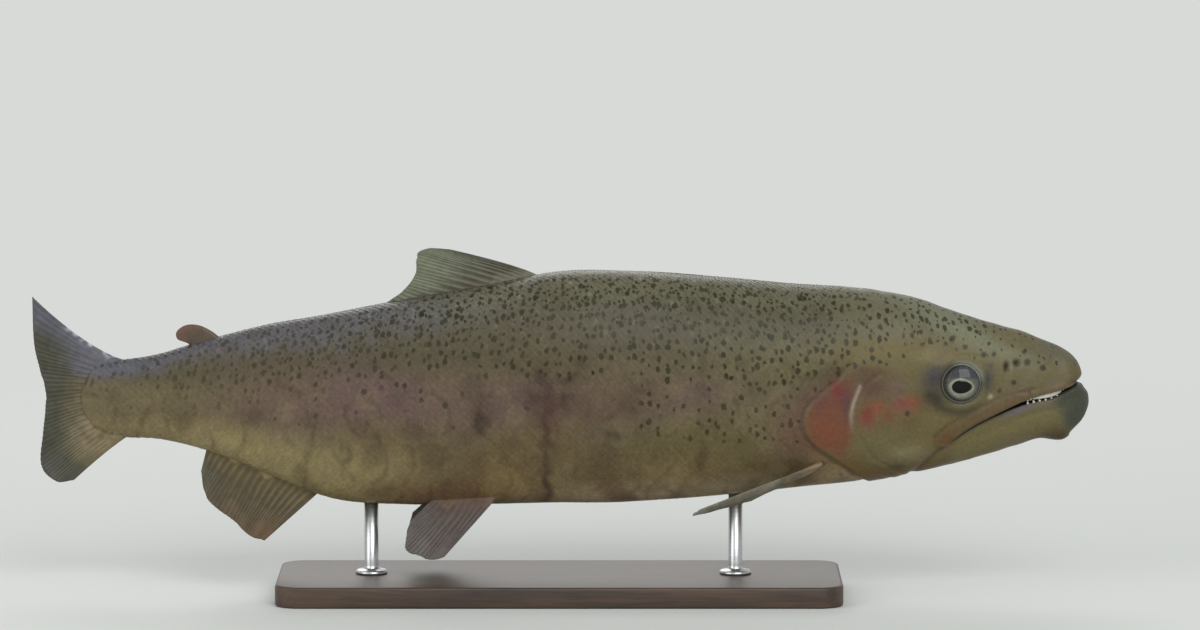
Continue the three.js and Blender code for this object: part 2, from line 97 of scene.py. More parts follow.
EYE_AT = 226.7
EYE_HEIGHT = 8.6
EYE_RADIUS = 11.6
EYE_BULGE = 6  # half the flattened ball's thickness
EYE_FROM = 19  # its middle's distance from the fish's middle
EYE_OPENING = 10.4
LENS_RISE = 0.5

BASE = {"length": 320, "width": 112, "thickness": 12, "corner": 14, "bevel": 1.5}
ROD_RADIUS = 4
ROD_SUNK = 3  # how far the rods reach into the belly
ROD_PLACES = {"front": (100, 0), "rear": (-107, 1)}


# ---- small tools
def ramp(x, low, high):
    """From 0 at low to 1 at high, along 3t^2 - 2t^3."""
    t = np.clip((x - low) / (high - low), 0, 1)
    return t * t * (3 - 2 * t)


def bell(x, width):
    """1 at 0, falling off on both sides as a bell curve of that width."""
    return np.exp(-((x / width) ** 2))


def along(table, at, column=1):
    """A column of a table at a station: a cubic through its rows. A row's slope is the mean of
    the rises before and after it, each weighted by the other's step."""
    stations, values = table[:, 0], table[:, column]
    step = np.diff(stations)
    rise = np.diff(values) / step
    inner = (rise[:-1] * step[1:] + rise[1:] * step[:-1]) / (step[:-1] + step[1:])
    slope = np.concatenate([rise[:1], inner, rise[-1:]])
    x = np.clip(at, stations[0], stations[-1])
    i = np.clip(np.searchsorted(stations, x, side="right") - 1, 0, len(step) - 1)
    t = (x - stations[i]) / step[i]
    start = (2 * t**3 - 3 * t**2 + 1) * values[i] + (t**3 - 2 * t**2 + t) * step[i] * slope[i]
    end = (3 * t**2 - 2 * t**3) * values[i + 1] + (t**3 - t**2) * step[i] * slope[i + 1]
    return start + end


def curve(points, t):
    """A smooth curve through a few points, t from 0 to 1: a cubic on each span, whose knots are
    spaced by the square root of the distance between points. Beyond an end the run is mirrored."""
    p = np.array(points, float)
    p = np.concatenate([[2 * p[0] - p[1]], p, [2 * p[-1] - p[-2]]])
    knot = np.linalg.norm(np.diff(p, axis=0), axis=1) ** 0.5
    s = np.clip(np.asarray(t) * (len(points) - 1), 0, len(points) - 1 - 1e-9)
    i = s.astype(int)
    w = (s - i)[..., None]
    a, b, c, d = p[i], p[i + 1], p[i + 2], p[i + 3]
    before, here, after = knot[i][..., None], knot[i + 1][..., None], knot[i + 2][..., None]
    leave = ((b - a) / before - (c - a) / (before + here) + (c - b) / here) * here
    arrive = ((c - b) / here - (d - b) / (here + after) + (d - c) / after) * here
    square = -3 * b + 3 * c - 2 * leave - arrive
    cube = 2 * b - 2 * c + leave + arrive
    return b + leave * w + square * w**2 + cube * w**3


def drift(points, size, seed):
    """Smooth unevenness from about -1 to 1: seven sine waves in random directions, about size
    millimetres from crest to crest."""
    rng = np.random.default_rng(seed)
    total = 0
    for _ in range(7):
        way = rng.normal(size=3)
        way *= rng.uniform(0.7, 1.5) * 2 * np.pi / size / np.linalg.norm(way)
        total = total + np.sin(points @ way + rng.uniform(0, 2 * np.pi))
    return total / 3


def xyz(x, y, z):
    """Points from coordinates, each an array or one number for all."""
    return np.stack(np.broadcast_arrays(x, y, z), -1)


def unit(v):
    """Vectors one long in the same directions."""
    return v / np.maximum(np.linalg.norm(v, axis=-1, keepdims=True), 1e-9)


def turns(count):
    """That many angles once round."""
    return np.linspace(0, 2 * np.pi, count, endpoint=False)


def beside(x, z, line):
    """Distance of each point from a smooth line through a few side-view points."""
    run = curve([(px, 0, pz) for px, pz in line], np.linspace(0, 1, 12 * len(line)))
    start, step = run[:-1, ::2], np.diff(run[:, ::2], axis=0)
    nearest = np.full(np.shape(x), np.inf)
    for (sx, sz), (dx, dz) in zip(start, step):
        t = np.clip(((x - sx) * dx + (z - sz) * dz) / (dx * dx + dz * dz), 0, 1)
        nearest = np.minimum(nearest, np.hypot(x - sx - t * dx, z - sz - t * dz))
    return nearest


def stroke(x, z, line, width):
    """1 on a smooth side-view line, falling off as a bell curve of that width."""
    return bell(beside(x, z, line), width)


def patch(x, z, at, height, long, tall):
    """1 at a place in the side view, falling off as a bell curve that long and that tall."""
    return bell(x - at, long) * bell(z - height, tall)


def linear(code):
    """An sRGB hex colour as linear red, green and blue."""
    s = np.array([int(code[i : i + 2], 16) for i in (1, 3, 5)]) / 255
    return np.where(s <= 0.04045, s / 12.92, ((s + 0.055) / 1.055) ** 2.4)


def lay(under, *layers, at=()):
    """Colours laid one over another, each by its share at every point. Where more follows the
    share, the colour is a soft patch in the side view: its place, height, length and tallness."""
    for code, share, *spot in layers:
        share = np.clip(share * patch(*at, *spot) if spot else share, 0, 1)[..., None]
        under = under * (1 - share) + linear(code) * share
    return under


def pose(points):
    """The tail swings to the left along a parabola, and the fish stands on the stand."""
    share = np.maximum(0, (TAIL_SWING_FROM - points[..., 0]) / (TAIL_SWING_FROM + HALF_LENGTH))
    return points + xyz(0, TAIL_SWING * share**2, AXIS_HEIGHT)


# ---- meshes
def tube_faces(rows, columns):
    """Faces of a closed skin of rings, with one point closing each end: the first point, then the
    rings one after another, then the last point."""
    here = 1 + np.arange(rows * columns).reshape(rows, columns)
    after = np.roll(here, -1, 1)
    walls = np.stack([here[:-1], here[1:], after[1:], after[:-1]], -1).reshape(-1, 4)
    head = np.stack([0 * here[0], here[0], after[0]], -1)
    foot = np.stack([here[-1], 0 * here[0] + rows * columns + 1, after[-1]], -1)
    return head, walls, foot


def tube(rings, first, last):
    """The points and faces of a closed skin of rings, from the points that close its ends."""
    points = np.concatenate([[first], rings.reshape(-1, 3), [last]])
    return points, tube_faces(*rings.shape[:2])


def plate_faces(rows, half):
    """Faces of a closed plate of rings, each of which runs out along one side and back along the
    other, half the points on each. A strip of faces across the plate's thickness closes each end."""
    walls = tube_faces(rows, 2 * half)[1] - 1
    k = np.arange(half - 1)
    strip = np.stack([k, k + 1, 2 * half - 2 - k, 2 * half - 1 - k], -1)
    return walls, strip, strip[:, ::-1] + (rows - 1) * 2 * half


def added(name, data):
    """An object in the scene that holds this mesh, lamp or camera."""
    thing = bpy.data.objects.new(name, data)
    bpy.context.scene.collection.objects.link(thing)
    return thing


def make_mesh(name, points, face_groups, material, uv=None, wraps=False, **attributes):
    """A mesh object from points in millimetres and groups of faces. uv is one place per point.
    Where the unwrap meets itself, a face's low places are moved on by one. Attributes of three
    columns are colours, or vectors if their name ends in _lie, and those of one are numbers."""
    mesh = bpy.data.meshes.new(name)
    faces = [face for group in face_groups for face in group.tolist()]
    mesh.from_pydata((points * MM).tolist(), [], faces)
    mesh.polygons.foreach_set("use_smooth", np.ones(len(faces), bool))
    if uv is not None:
        places = uv[np.concatenate([group.ravel() for group in face_groups])]
        if wraps:
            sides = np.concatenate([np.full(len(group), group.shape[1]) for group in face_groups])
            highest = np.maximum.reduceat(places[:, 1], np.cumsum(sides) - sides)
            places[:, 1] += places[:, 1] < np.repeat(highest, sides) - 0.5
        mesh.uv_layers.new(name="OFBake").data.foreach_set("uv", places.ravel())
    for key, values in attributes.items():
        kind, field = "FLOAT", "value"
        if key.endswith("_lie"):
            kind, field = "FLOAT_VECTOR", "vector"
        elif values.ndim == 2:
            kind, field = "FLOAT_COLOR", "color"
            values = np.insert(values, 3, 1, axis=1)
        mesh.attributes.new(key, kind, "POINT").data.foreach_set(field, values.ravel())
    mesh.materials.append(material)
    mesh.update()
    return added(name, mesh)


def place(piece, slot, *nodes):
    """Rides the piece on the one body and hides the solids it stands for. The slot is not used."""
    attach(piece, "root")
    if nodes:
        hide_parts(*nodes)


# ---- the body's form
def levels(at):
    """Heights of a cross-section's back and belly, and of its broadest place."""
    back, belly = along(BODY, at), along(BODY, at, 2)
    return back, belly, (back + belly) / 2 + BROADEST * (back - belly)


def half_width(at, z):
    """Half the width of a cross-section at a height: an ellipse filled out at its sides."""
    back, belly, middle = levels(at)
    share = np.where(z > middle, (z - middle) / (back - middle), (middle - z) / (middle - belly))
    level = np.sqrt(np.clip(1 - share**2, 0, 1))
    return along(BODY, at, 3) * level**FULLNESS * tuck(at, z)


def tuck(at, z):
    """Below the mouth's line the lower jaw is narrower than the snout."""
    under = ramp(along(MOUTH, at) - z, -1.5, 3)
    return 1 - JAW_TUCK * ramp(at, 205, 245) * under


def section(at, angle):
    """Points of the cross-sections: the angle runs from the back, over the left side, to the
    belly and up the right side. Height follows its cosine, and width a power of its sine."""
    at, angle = np.broadcast_arrays(np.asarray(at, float), angle)
    back, belly, middle = levels(at)
    c, s = np.cos(angle), np.sin(angle)
    z = middle + np.where(c > 0, back - middle, middle - belly) * c
    return xyz(at, along(BODY, at, 3) * np.sign(s) * np.abs(s) ** FULLNESS * tuck(at, z), z)


def cap(angle, share):
    """Points of the rounded front: the last cross-section shrunk by a share towards the notch,
    and bulged forward to the profile's reach as a circle bulges."""
    rim = section(CAP_AT, angle)
    z = NOTCH + (rim[..., 2] - NOTCH) * share
    y = rim[..., 1] * share
    across = np.minimum(1, np.abs(y) / np.maximum(half_width(CAP_AT, z), 1e-6))
    return xyz(CAP_AT + (along(FRONT, z) - CAP_AT) * np.sqrt(1 - across**2), y, z)


def girth(at):
    """Distance round half a cross-section from the back, tabled against the angle."""
    angle = np.linspace(0, np.pi, 241)
    ring = section(np.asarray(at)[:, None], angle)
    step = np.linalg.norm(np.diff(ring, axis=1), axis=2)
    return angle, np.concatenate([np.zeros((len(step), 1)), np.cumsum(step, 1)], 1)


def collar_offset(x, z):
    """Distance ahead of the gill cover's rear edge, square to it."""
    lean = (along(COLLAR, z + 1) - along(COLLAR, z - 1)) / 2
    return (x - along(COLLAR, z)) / np.sqrt(1 + lean**2)


# Side-view lines on the head, which both the relief and the colours follow.
CHEEK_EDGE = [(181, 15), (172, 8), (167.5, -5), (168.5, -19), (176, -32), (190, -41)]
CHEEK_INNER = [(196, 4), (185, 0), (181, -10), (184, -21), (194, -30), (208, -35)]
PLATE_SPINE = [(262, 1.2), (250, -3.4), (240, -8.4), (229, -14.8), (219, -21.4), (215.5, -24.4)]
PLATE_TOP = [(268, 4.6), (256, 2.6), (243, -2.4), (230, -9.6), (219, -15.6), (211.5, -21.5)]
JAW_ROOT = [(216, -29), (208, -36), (199, -44)]
EYE_GROOVE = [(246, 6), (240, -3.5), (229, -8), (216, -5.5), (209, 2)]
BROW = [(243, 20), (234, 23.2), (224, 23.2), (214, 19)]
SCAR = [(-6, 8), (-7.5, -8), (-6.5, -22), (-7.5, -38), (-6.5, -52), (-7.5, -61)]


def relief(x, y, z):
    """How far the skin stands out from the body's plain form, in millimetres: a step at the gill
    cover's edge, the head's plates and folds, pits at the nostrils, a hollow for the eye and a soft
    unevenness all over."""
    ahead = collar_offset(x, z)
    head, lips = ramp(x, 150, 166), ramp(x, 226, 250)
    lip = z - along(MOUTH, x)
    from_eye = np.hypot(x - EYE_AT, z - EYE_HEIGHT)
    rise = ramp(ahead, -0.5, 1.3) * (1 - 0.75 * ramp(ahead, 9, 34))
    rise = (rise - 0.5 * bell(ahead + 1.4, 1.1)) * ramp(z, 30, 14)
    for line, width, height in (
        (CHEEK_EDGE, 1.1, -0.55 * head),
        (CHEEK_INNER, 1.3, -0.3 * head),
        (JAW_ROOT, 1.6, -0.9),
        (PLATE_TOP, 1.0, -0.5),
        (EYE_GROOVE, 1.4, -0.35),
        (BROW, 2.0, 0.4),
    ):
        rise += height * stroke(x, z, line, width)
    rise += head * 0.35 * bell(ahead - 27, 7)
    throat = ramp(z, -34, -42) * ramp(ahead, 3, 12) * ramp(x, 206, 186)
    rise += 0.25 * np.cos(2 * np.pi * (z + 0.35 * x) / 4.2) * throat
    rise += 0.75 * (1 - ramp(beside(x, z, PLATE_SPINE), 3.2, 5))
    rise += 0.45 * lips * bell(np.abs(lip) - 3.6, 1.8)
    rise -= 0.35 * lips * bell(lip + 8.2, 1.3) * ramp(x, 290, 280)
    rise += 0.3 * bell(from_eye - 14, 1.6)
    rise -= 1.1 * (1 - ramp(from_eye, 10.4, 13.2)) + 5.5 * (1 - ramp(from_eye, 8.8, 10.6))
    rise -= 1.5 * patch(x, z, 252.5, 17.5, 1.3, 2.6) + 1.2 * patch(x, z, 258.4, 19.6, 1.9, 1.7)
    rise += 0.5 * patch(x, z, 255.2, 18.8, 1.1, 3)
    crown = 0.5 * bell(y, 7) * ramp(z, 20, 30) - 0.4 * bell(np.abs(y) - 12, 4) * ramp(z, 25, 40)
    rise += head * crown - 0.2 * bell(z - along(LATERAL, x), 1.2) * ramp(ahead, 0, -3)
    points = np.stack([x, y, z], -1)
    uneven = 0.2 * drift(points, 38, 3) + 0.12 * drift(points, 9, 4) * ramp(ahead, 0, 8)
    return rise + uneven * ramp(x, -262, -240) - SCALE_DEPTH * ramp(ahead, -0.5, -5)


# ---- markings
# The right side's smudges: share, place, height, length and tallness.
SMUDGES = [
    (0.75, -46, -11, 3.2, 6), (0.6, -44, -17, 2.6, 2.2), (0.55, 7, 13, 7, 3.6),
    (0.5, -9, 15, 3.4, 4.6), (0.45, 13, 22, 3.6, 4.8), (0.6, 2, 1, 3.6, 4.6),
    (0.5, -14, 0, 5, 3), (0.6, 29, -21, 3.2, 3.6), (0.3, 41, -7, 6, 2.4),
    (0.5, 80, -34, 2.6, 12), (0.35, 66, -52, 16, 3), (0.35, -25, -37, 12, 2.4),
    (0.65, -104, -24, 2.4, 4), (0.65, -108, -15, 2, 2.4), (0.45, -122, -34, 2.2, 8),
]

# The red and brown patches of the gill cover and cheek, the dark ones round the eye, and a fleck.
CHEEK = [
    ("#784630", 0.7, 151, -18, 7.5, 9),
    ("#643f3c", 0.7, 146, -1, 6.5, 6),
    ("#6e322e", 0.92, 156.8, 6.5, 5, 6.6),
    ("#543d40", 0.75, 161.5, -1, 3.4, 9),
    ("#594139", 0.9, 176, 8, 11, 9),
    ("#67564f", 0.7, 190, 7, 5, 6),
    ("#55432f", 0.8, 172, 16, 11, 5),
    ("#63473a", 0.5, 150, 3, 5, 6),
    ("#584c33", 0.5, 199, -13, 9, 6),
    ("#783a35", 0.92, 173.5, -9, 4.6, 6.8),
    ("#854f38", 0.85, 179, -4.5, 4, 4),
    ("#724530", 0.8, 185, -9, 4, 4.2),
    ("#7b4640", 0.9, 193, -3, 6.4, 4.2),
    ("#7d4a33", 0.85, 200, -1.6, 4.6, 4),
    ("#7c7557", 0.75, 196, -31, 11, 4.6),
    ("#6a6244", 0.6, 186, -36, 12, 3),
    ("#3b383e", 0.95, 211, 12, 7, 7.6),
    ("#37332a", 0.92, 211.5, 1, 8.4, 5.6),
    ("#3d3e3b", 0.92, 241.6, 11, 3.6, 7),
    ("#aaa283", 0.8, 243, 0.8, 1.3, 1.4),
]
# The pale line down the gill cover is a painted highlight along the rear edge of the cheek's plate.
STREAK = [(169.2, 8), (167, 2.5), (165, -3.5), (164.2, -10), (165.4, -20)]

# Single spots on the snout, brow and cheek: place, height and radius.
SNOUT_SPOTS = [
    (264.3, 20, 1.7), (273, 16.6, 1.7), (256.4, 8.8, 1.6), (248.3, 4.4, 1.4), (239.6, 24.6, 1.5),
    (245.2, 24.8, 1.5), (262.4, 25.6, 1.3), (221.5, 33.5, 1.6), (196, -8, 1.5), (229, 29, 1.4),
]


def over_eye(x, z):
    """Distance from the eye's middle upwards and a little forwards, the side that is lit."""
    return (x - EYE_AT) * 0.5 + (z - EYE_HEIGHT) * 0.87


def body_colour(points, broad, fine):
    """Grey-olive back, pink band and tan belly, then bruises, pale blotches and the faint veined
    outlines between them, and the right side's scar and smudges."""
    x, y, z = points.T
    ahead = collar_offset(x, z)
    line = along(LATERAL, x)
    back, belly, _ = levels(np.maximum(x, -255))
    up, down = (z - line) / (back - line), (line - z) / (line - belly)
    ragged = 0.12 * broad + 0.06 * fine
    high, low = up + ragged, down + ragged
    band = bell(z + 3 - 3 * broad, 18) * ramp(x, -225, -150)
    band *= 1 - 0.8 * ramp(x + 18 * fine, 40, 120)
    pale = ramp(down, 0.74, 0.98) * ramp(x, -60, 40) * (1 - 0.75 * ramp(x, 105, 140))
    rust = ramp(drift(points, 46, 5), 0.1, 0.9) * ramp(down, 0.5, 0.95)
    blotch, vein, rough = drift(points, 26, 7), drift(points, 30, 10), drift(points, 8, 12)
    flank, right = ramp(up, 0.5, 0.1), ramp(y, 4, -4)
    hide = lay(
        linear("#665c44"),
        ("#554e3b", ramp(high, 0, 0.4)),
        ("#4b4738", ramp(high, 0.45, 0.95)),
        ("#454132", 0.7 * ramp(x, 20, 90) * ramp(up, 0.3, 0.8)),
        ("#3f3a27", 0.45, -25, 22, 80, 11),
        # painted light: the top of the back is lighter where light from above falls on it
        ("#6b6854", 0.8 * ramp(up + 0.4 * ragged, 0.55, 0.95) * ramp(x, -190, -60)),
        # violet-grey along the top towards the tail: partly the skin's own tint, partly painted
        # sheen
        ("#5f5d62", 0.85 * ramp(x + 14 * broad, 10, -130) * ramp(high, 0.45, 0.85)),
        ("#5a5b64", 0.7 * ramp(x, -205, -245) * ramp(up, 0.35, 0.9)),
        ("#5f5c3d", 0.5, 128, 22, 44, 24),
        ("#66534a", 0.85 * band),
        ("#644d52", 0.38 * band * ramp(broad, -0.2, 0.8)),
        ("#524030", 0.5, 2, -4, 42, 14),
        ("#65563b", 0.8 * ramp(low, 0.3, 0.55)),
        ("#816f4d", ramp(low, 0.6, 0.95)),
        ("#b0a182", 0.9 * pale),
        ("#8f835b", 0.8 * ramp(x, -50, -125) * ramp(down, 0.25, 0.75)),
        ("#6b6046", 0.7 * ramp(x, -190, -240) * ramp(z, 12, 2)),
        ("#5d4130", 0.6 * rust * ramp(x, -150, -90) * ramp(x, 110, 50)),
        ("#643f39", 0.5, -72, -56, 34, 8),
        ("#473a2e", 0.38 * ramp(blotch, 0.25, 1.1) * (0.4 + 0.6 * flank)),
        ("#7d6f54", 0.34 * ramp(blotch, -0.25, -1.1) * ramp(up, 0.1, -0.15)),
        ("#463527", 0.45 * bell(vein, 0.15) * flank * ramp(fine, -0.6, 0.7)),
        ("#5f5c37", 0.45, 75, -22, 48, 18),
        ("#7a6840", 0.5 * patch(x + 6 * fine, z, -26, -42, 16, 12)),
        # painted shade at the pectoral fin's root
        ("#3d3428", 0.5, 133, -36, 9, 5),
        ("#65453f", 0.6 * patch(ahead, z, -6, -16, 10, 18)),
        ("#4a4230", 0.5 * patch(ahead, z, -5, 15, 9, 10)),
        ("#3a2b26", (0.6 + 0.2 * rough) * right * stroke(x + 1.4 * fine, z, SCAR, 2.8 + rough)),
        ("#553a31", 0.5 * right * patch(x + rough, z, -6, -6, 4.5, 13)),
        at=(x, z),
    )
    smudges = [("#35291f", share * right, *spot) for share, *spot in SMUDGES]
    return lay(hide, *smudges, at=(x + 1.8 * fine + rough, z + 1.8 * fine - rough))


def hide_colour(points):
    """The skin's colours from each point's place. The head's are laid over the body's. Below, they
    begin sharply at the gill cover's edge, and above softly."""
    x, _, z = points.T
    ahead, lip = collar_offset(x, z), z - along(MOUTH, x)
    broad, fine = drift(points, 70, 1), drift(points, 17, 2)
    edge = ramp(z, 27, 15)
    on_head = edge * ramp(ahead, -0.6, 0.8) + (1 - edge) * ramp(ahead, -30, 26)
    red = ramp(ahead, -0.6, 3.5) * ramp(x + 1.6 * fine, 169, 160)
    red *= ramp(z + 2 * fine, 18, 8) * ramp(z + 2 * fine, -36, -24)
    head = lay(
        body_colour(points, broad, fine),
        ("#665d3f", on_head),
        ("#66634f", on_head * ramp(z + 3 * broad, 26, 44)),
        ("#675c33", 0.9, 180, 26, 26, 9),
        ("#7a7049", 0.7, 207, 24, 7, 5),
        ("#6b5e3b", 0.8 * on_head, 212, -14, 20, 13),
        ("#655c46", 0.7 * on_head * ramp(x, 240, 258) * ramp(z, 16, 6)),
        ("#615f52", 0.7 * on_head * ramp(x, 250, 284) * ramp(z, 13, 24)),
        ("#7c8069", 0.75 * on_head * patch(x, z - 0.5 * (226 - x), 226, 39, 30, 6.5)),
        ("#574320", 0.9 * on_head * ramp(z, -27, -44)),
        ("#74592f", 0.5 * on_head, 160, -45, 16, 7),
        ("#6f4533", 0.92 * red),
        at=(x, z),
    )
    head = lay(head, *CHEEK, at=(x + 0.8 * fine, z + 0.8 * fine))
    from_eye = np.hypot(x - EYE_AT, z - EYE_HEIGHT)
    mouthed = ramp(x, 218, 228)
    tip = ramp(x + 0.3 * lip + 1.5 * fine, 272, 286) * ramp(lip, 0.6, -0.6)
    spots = [(np.hypot(x - at, z - height) + 0.3 * fine, size) for at, height, size in SNOUT_SPOTS]
    return lay(
        head,
        # painted highlight along the rear edge of the cheek's plate
        ("#a29386", 0.72 * stroke(x, z, STREAK, 1.1) * ramp(z, -22, -2)),
        ("#3a352b", 0.75 * stroke(x, z, EYE_GROOVE, 2.8) * ramp(x, 242, 232)),
        ("#484843", 0.75 * ramp(from_eye, 14, 10.4)),
        # painted highlight: the pale arc over the eye on its lit side
        ("#8b8f80", 0.65 * bell(from_eye - 12.2, 1) * ramp(over_eye(x, z), 5, 11)),
        ("#5f4f37", 0.6 * (1 - ramp(beside(x, z, PLATE_SPINE), 3, 6))),
        ("#5f4327", 0.85, 218.5, -22.5, 6, 4.6),
        # painted shade in the grooves above the jaw's plate and at the jaw's root
        ("#3d3023", 0.45 * stroke(x, z, PLATE_TOP, 0.9) + 0.5 * stroke(x, z, JAW_ROOT, 1.3)),
        ("#37301f", 0.8, 191, -39, 4.4, 2),
        ("#86806a", 0.6, 255.2, 17.6, 1.3, 3.4),
        # painted shade: the nostrils' pits are near-black
        ("#1d1a15", 1, 252.2, 17.8, 1.5, 3.2),
        ("#1d1a15", 1, 258, 19.8, 2.2, 2),
        ("#6c6341", 0.9 * mouthed * ramp(lip, -1, -4) * ramp(lip, -24, -13)),
        ("#5f4a31", 0.5 * mouthed * bell(lip - 4.2, 2.2)),
        ("#676259", 0.75 * patch(x, lip, 277, -4.2, 7, 2.4)),
        ("#656070", 0.85 * patch(x, lip, 260, -2.8, 8, 1.9)),
        ("#40443a", 0.94 * tip * ramp(z, -24, -15)),
        ("#40351f", 0.9, 283, -24, 11, 6),
        # painted shade in the mouth's opening between the lips
        ("#241b18", 0.85 * mouthed * ramp(np.abs(lip), 1.8, 0.4)),
        *(("#262a1e", 0.85 * ramp(far, size + 0.6, size - 0.6)) for far, size in spots),
        # painted shade in the groove along the gill cover's rear edge
        ("#3a2b22", 0.4 * bell(ahead + 1.1, 1.1) * ramp(z, 24, 4)),
        ("#211c13", 0.1),  # a thin toning glaze over everything
        at=(x, z),
    )


def spot_density(points):
    """The share of spots that show: nearly all on the back, thinning below the lateral line, fewer
    on the head and none on the gill cover, cheeks, jaws or belly."""
    x, _, z = points.T
    table = np.array([(-270, -2), (-200, 1), (-60, 13), (60, 14), (120, 6), (160, 12), (200, 22)])
    above = z - along(table, x)
    back = 0.96 * ramp(above + 4 * drift(points, 55, 9), -3, 8)
    flank = 0.6 * ramp(x, 25, 70) * ramp(z, -30, -16) * ramp(x, 170, 150)
    rear = 0.22 * ramp(x, 20, -60) * ramp(z, -30, -4)
    above = z - along(np.array([(145, 14), (180, 17), (206, 25)]), x)
    head = 0.66 * ramp(above, 0, 6) * ramp(x, 262, 235)
    on_head = ramp(collar_offset(x, z), -2, 1)
    return np.maximum(np.maximum(back, flank), rear) * (1 - on_head) + head * on_head


def markings(points):
    """The numbers the spots are drawn from, under the names the material reads. The smaller flecks
    are on the back, most by the dorsal fin. The ink is darkest on the shoulders."""
    x, _, z = points.T
    height = z - (0.64 - 0.2 * ramp(x, -60, -140)) * along(BODY, x)
    share = (0.6 + 0.4 * ramp(x, 130, 40)) * ramp(x, -225, -160)
    ink = 0.7 + 0.16 * ramp(z, -5, 20) - 0.28 * ramp(x, -40, -200) + 0.12 * drift(points, 12, 13)
    return {"spotted": spot_density(points), "flecked": share * ramp(height, -12, 6), "ink": ink}


# ---- materials
SPOT_CELL = (4.6, 6.2)  # millimetres of skin to a spot, along the fish and round it
FLECK_CELL = (3.6, 4.8)


def feed(tree, made, inputs):
    """Sets a node's inputs, by name or in order: to values, or by links from a socket or from
    another node's first output."""
    for key, value in inputs.items() if isinstance(inputs, dict) else enumerate(inputs):
        if isinstance(value, bpy.types.Node):
            value = value.outputs[0]
        if isinstance(value, bpy.types.NodeSocket):
            tree.links.new(value, made.inputs[key])
        else:
            made.inputs[key].default_value = value


def node(tree, kind, inputs, **settings):
    """Adds a node with its settings and inputs."""
    made = tree.nodes.new("ShaderNode" + kind)
    for key, value in settings.items():
        setattr(made, key, value)
    feed(tree, made, inputs)
    return made


def new_material(name, coat=0, coat_roughness=0.03, specular=0.5, **constants):
    """A material with one shader, and the shader's constants on its own sockets."""
    material = bpy.data.materials.new(name)
    material.use_nodes = True
    tree = material.node_tree
    shader = tree.nodes["Principled BSDF"]
    finish = {"Coat Weight": coat, "Coat Roughness": coat_roughness, "Specular IOR Level": specular}
    feed(tree, shader, finish | constants)
    return material, tree, shader


def rgba(code):
    """An sRGB hex colour as linear red, green and blue, opaque."""
    return (*linear(code), 1)


def shaded(tree, colour, noise, *spread):
    """A colour multiplied by a noise: spread gives the noise's low and high values, and the shares
    of the colour that they leave."""
    share = node(tree, "MapRange", [noise, *spread])
    mixed = {0: 1, 6: colour, 7: share}
    return node(tree, "Mix", mixed, data_type="RGBA", blend_type="MULTIPLY").outputs[2]


def stretched_noise(tree, periods, detail):
    """A noise with that many periods to the metre along each of the piece's axes."""
    at = node(tree, "TexCoord", {}).outputs["Object"]
    stretched = node(tree, "Mapping", {"Vector": at, "Scale": periods})
    return node(tree, "TexNoise", {"Vector": stretched, "Scale": 1, "Detail": detail})


def speckle(tree, lie, cell, share, smallest, largest):
    """One soft-edged spot to a cell, in the share of the cells that an attribute gives, between
    the smallest and the largest radius in cells."""
    density = node(tree, "Attribute", {}, attribute_name=share).outputs["Fac"]
    scaled = node(tree, "VectorMath", [lie, (1 / cell[0], 1 / cell[1], 1)], operation="MULTIPLY")
    cells = {"Vector": scaled, "Scale": 1, "Randomness": 0.8}
    spots = node(tree, "TexVoronoi", cells, voronoi_dimensions="2D")
    draw = node(tree, "SeparateColor", [spots.outputs["Color"]])
    spare = node(tree, "Math", [density, draw], operation="SUBTRACT")
    shown = node(tree, "MapRange", [spare, 0, 0.12])
    reach = node(tree, "MapRange", [draw.outputs["Green"], 0, 1, smallest, largest])
    inner = node(tree, "Math", [reach, 0.16], operation="SUBTRACT")
    ink = node(tree, "MapRange", [spots, inner, reach, 1, 0], interpolation_type="SMOOTHSTEP")
    return node(tree, "Math", [ink, shown], operation="MULTIPLY")


def spotted_skin(name, roughness, pore_height):
    """Fish skin under a thin coat of satin varnish, moulded and airbrushed. The airbrushed zones
    come from the mesh, and the spots are one to a cell of about 5 by 6 mm, uneven in size and
    outline, so the eye reads separate dark flecks on a softly mottled ground."""
    material, tree, shader = new_material(name, 0.04, 0.3, 0.16)
    hide = node(tree, "Attribute", {}, attribute_name="hide")
    lie = node(tree, "Attribute", {}, attribute_name="skin_lie").outputs["Vector"]
    strength = node(tree, "Attribute", {}, attribute_name="ink").outputs["Fac"]
    wobble = node(tree, "TexNoise", {"Vector": lie, "Scale": 0.28, "Detail": 2}).outputs["Color"]
    centred = node(tree, "VectorMath", [wobble, (0.5, 0.5, 0.5)], operation="SUBTRACT")
    moved = node(tree, "VectorMath", [centred, (2.8, 2.8, 0), lie], operation="MULTIPLY_ADD")
    spots = speckle(tree, moved, SPOT_CELL, "spotted", 0.26, 0.4)
    flecks = speckle(tree, moved, FLECK_CELL, "flecked", 0.2, 0.32)
    either = node(tree, "Math", [spots, flecks], operation="MAXIMUM")
    mask = node(tree, "Math", [either, strength], operation="MULTIPLY")
    mottle = node(tree, "TexNoise", {"Vector": lie, "Scale": 0.45, "Detail": 5, "Roughness": 0.65})
    ground = shaded(tree, hide, mottle, 0.3, 0.7, 0.84, 1.16)
    ink = {0: mask, 6: ground, 7: rgba("#2a2914")}
    inked = node(tree, "Mix", ink, data_type="RGBA").outputs[2]
    gloss = node(tree, "MapRange", [mottle, 0, 1, roughness - 0.1, roughness + 0.1])
    pores = node(tree, "TexNoise", {"Vector": lie, "Scale": 1.1, "Detail": 3})
    bump = node(tree, "Bump", {"Height": pores, "Distance": pore_height * MM, "Strength": 0.5})
    feed(tree, shader, {"Base Color": inked, "Roughness": gloss, "Normal": bump})
    return material


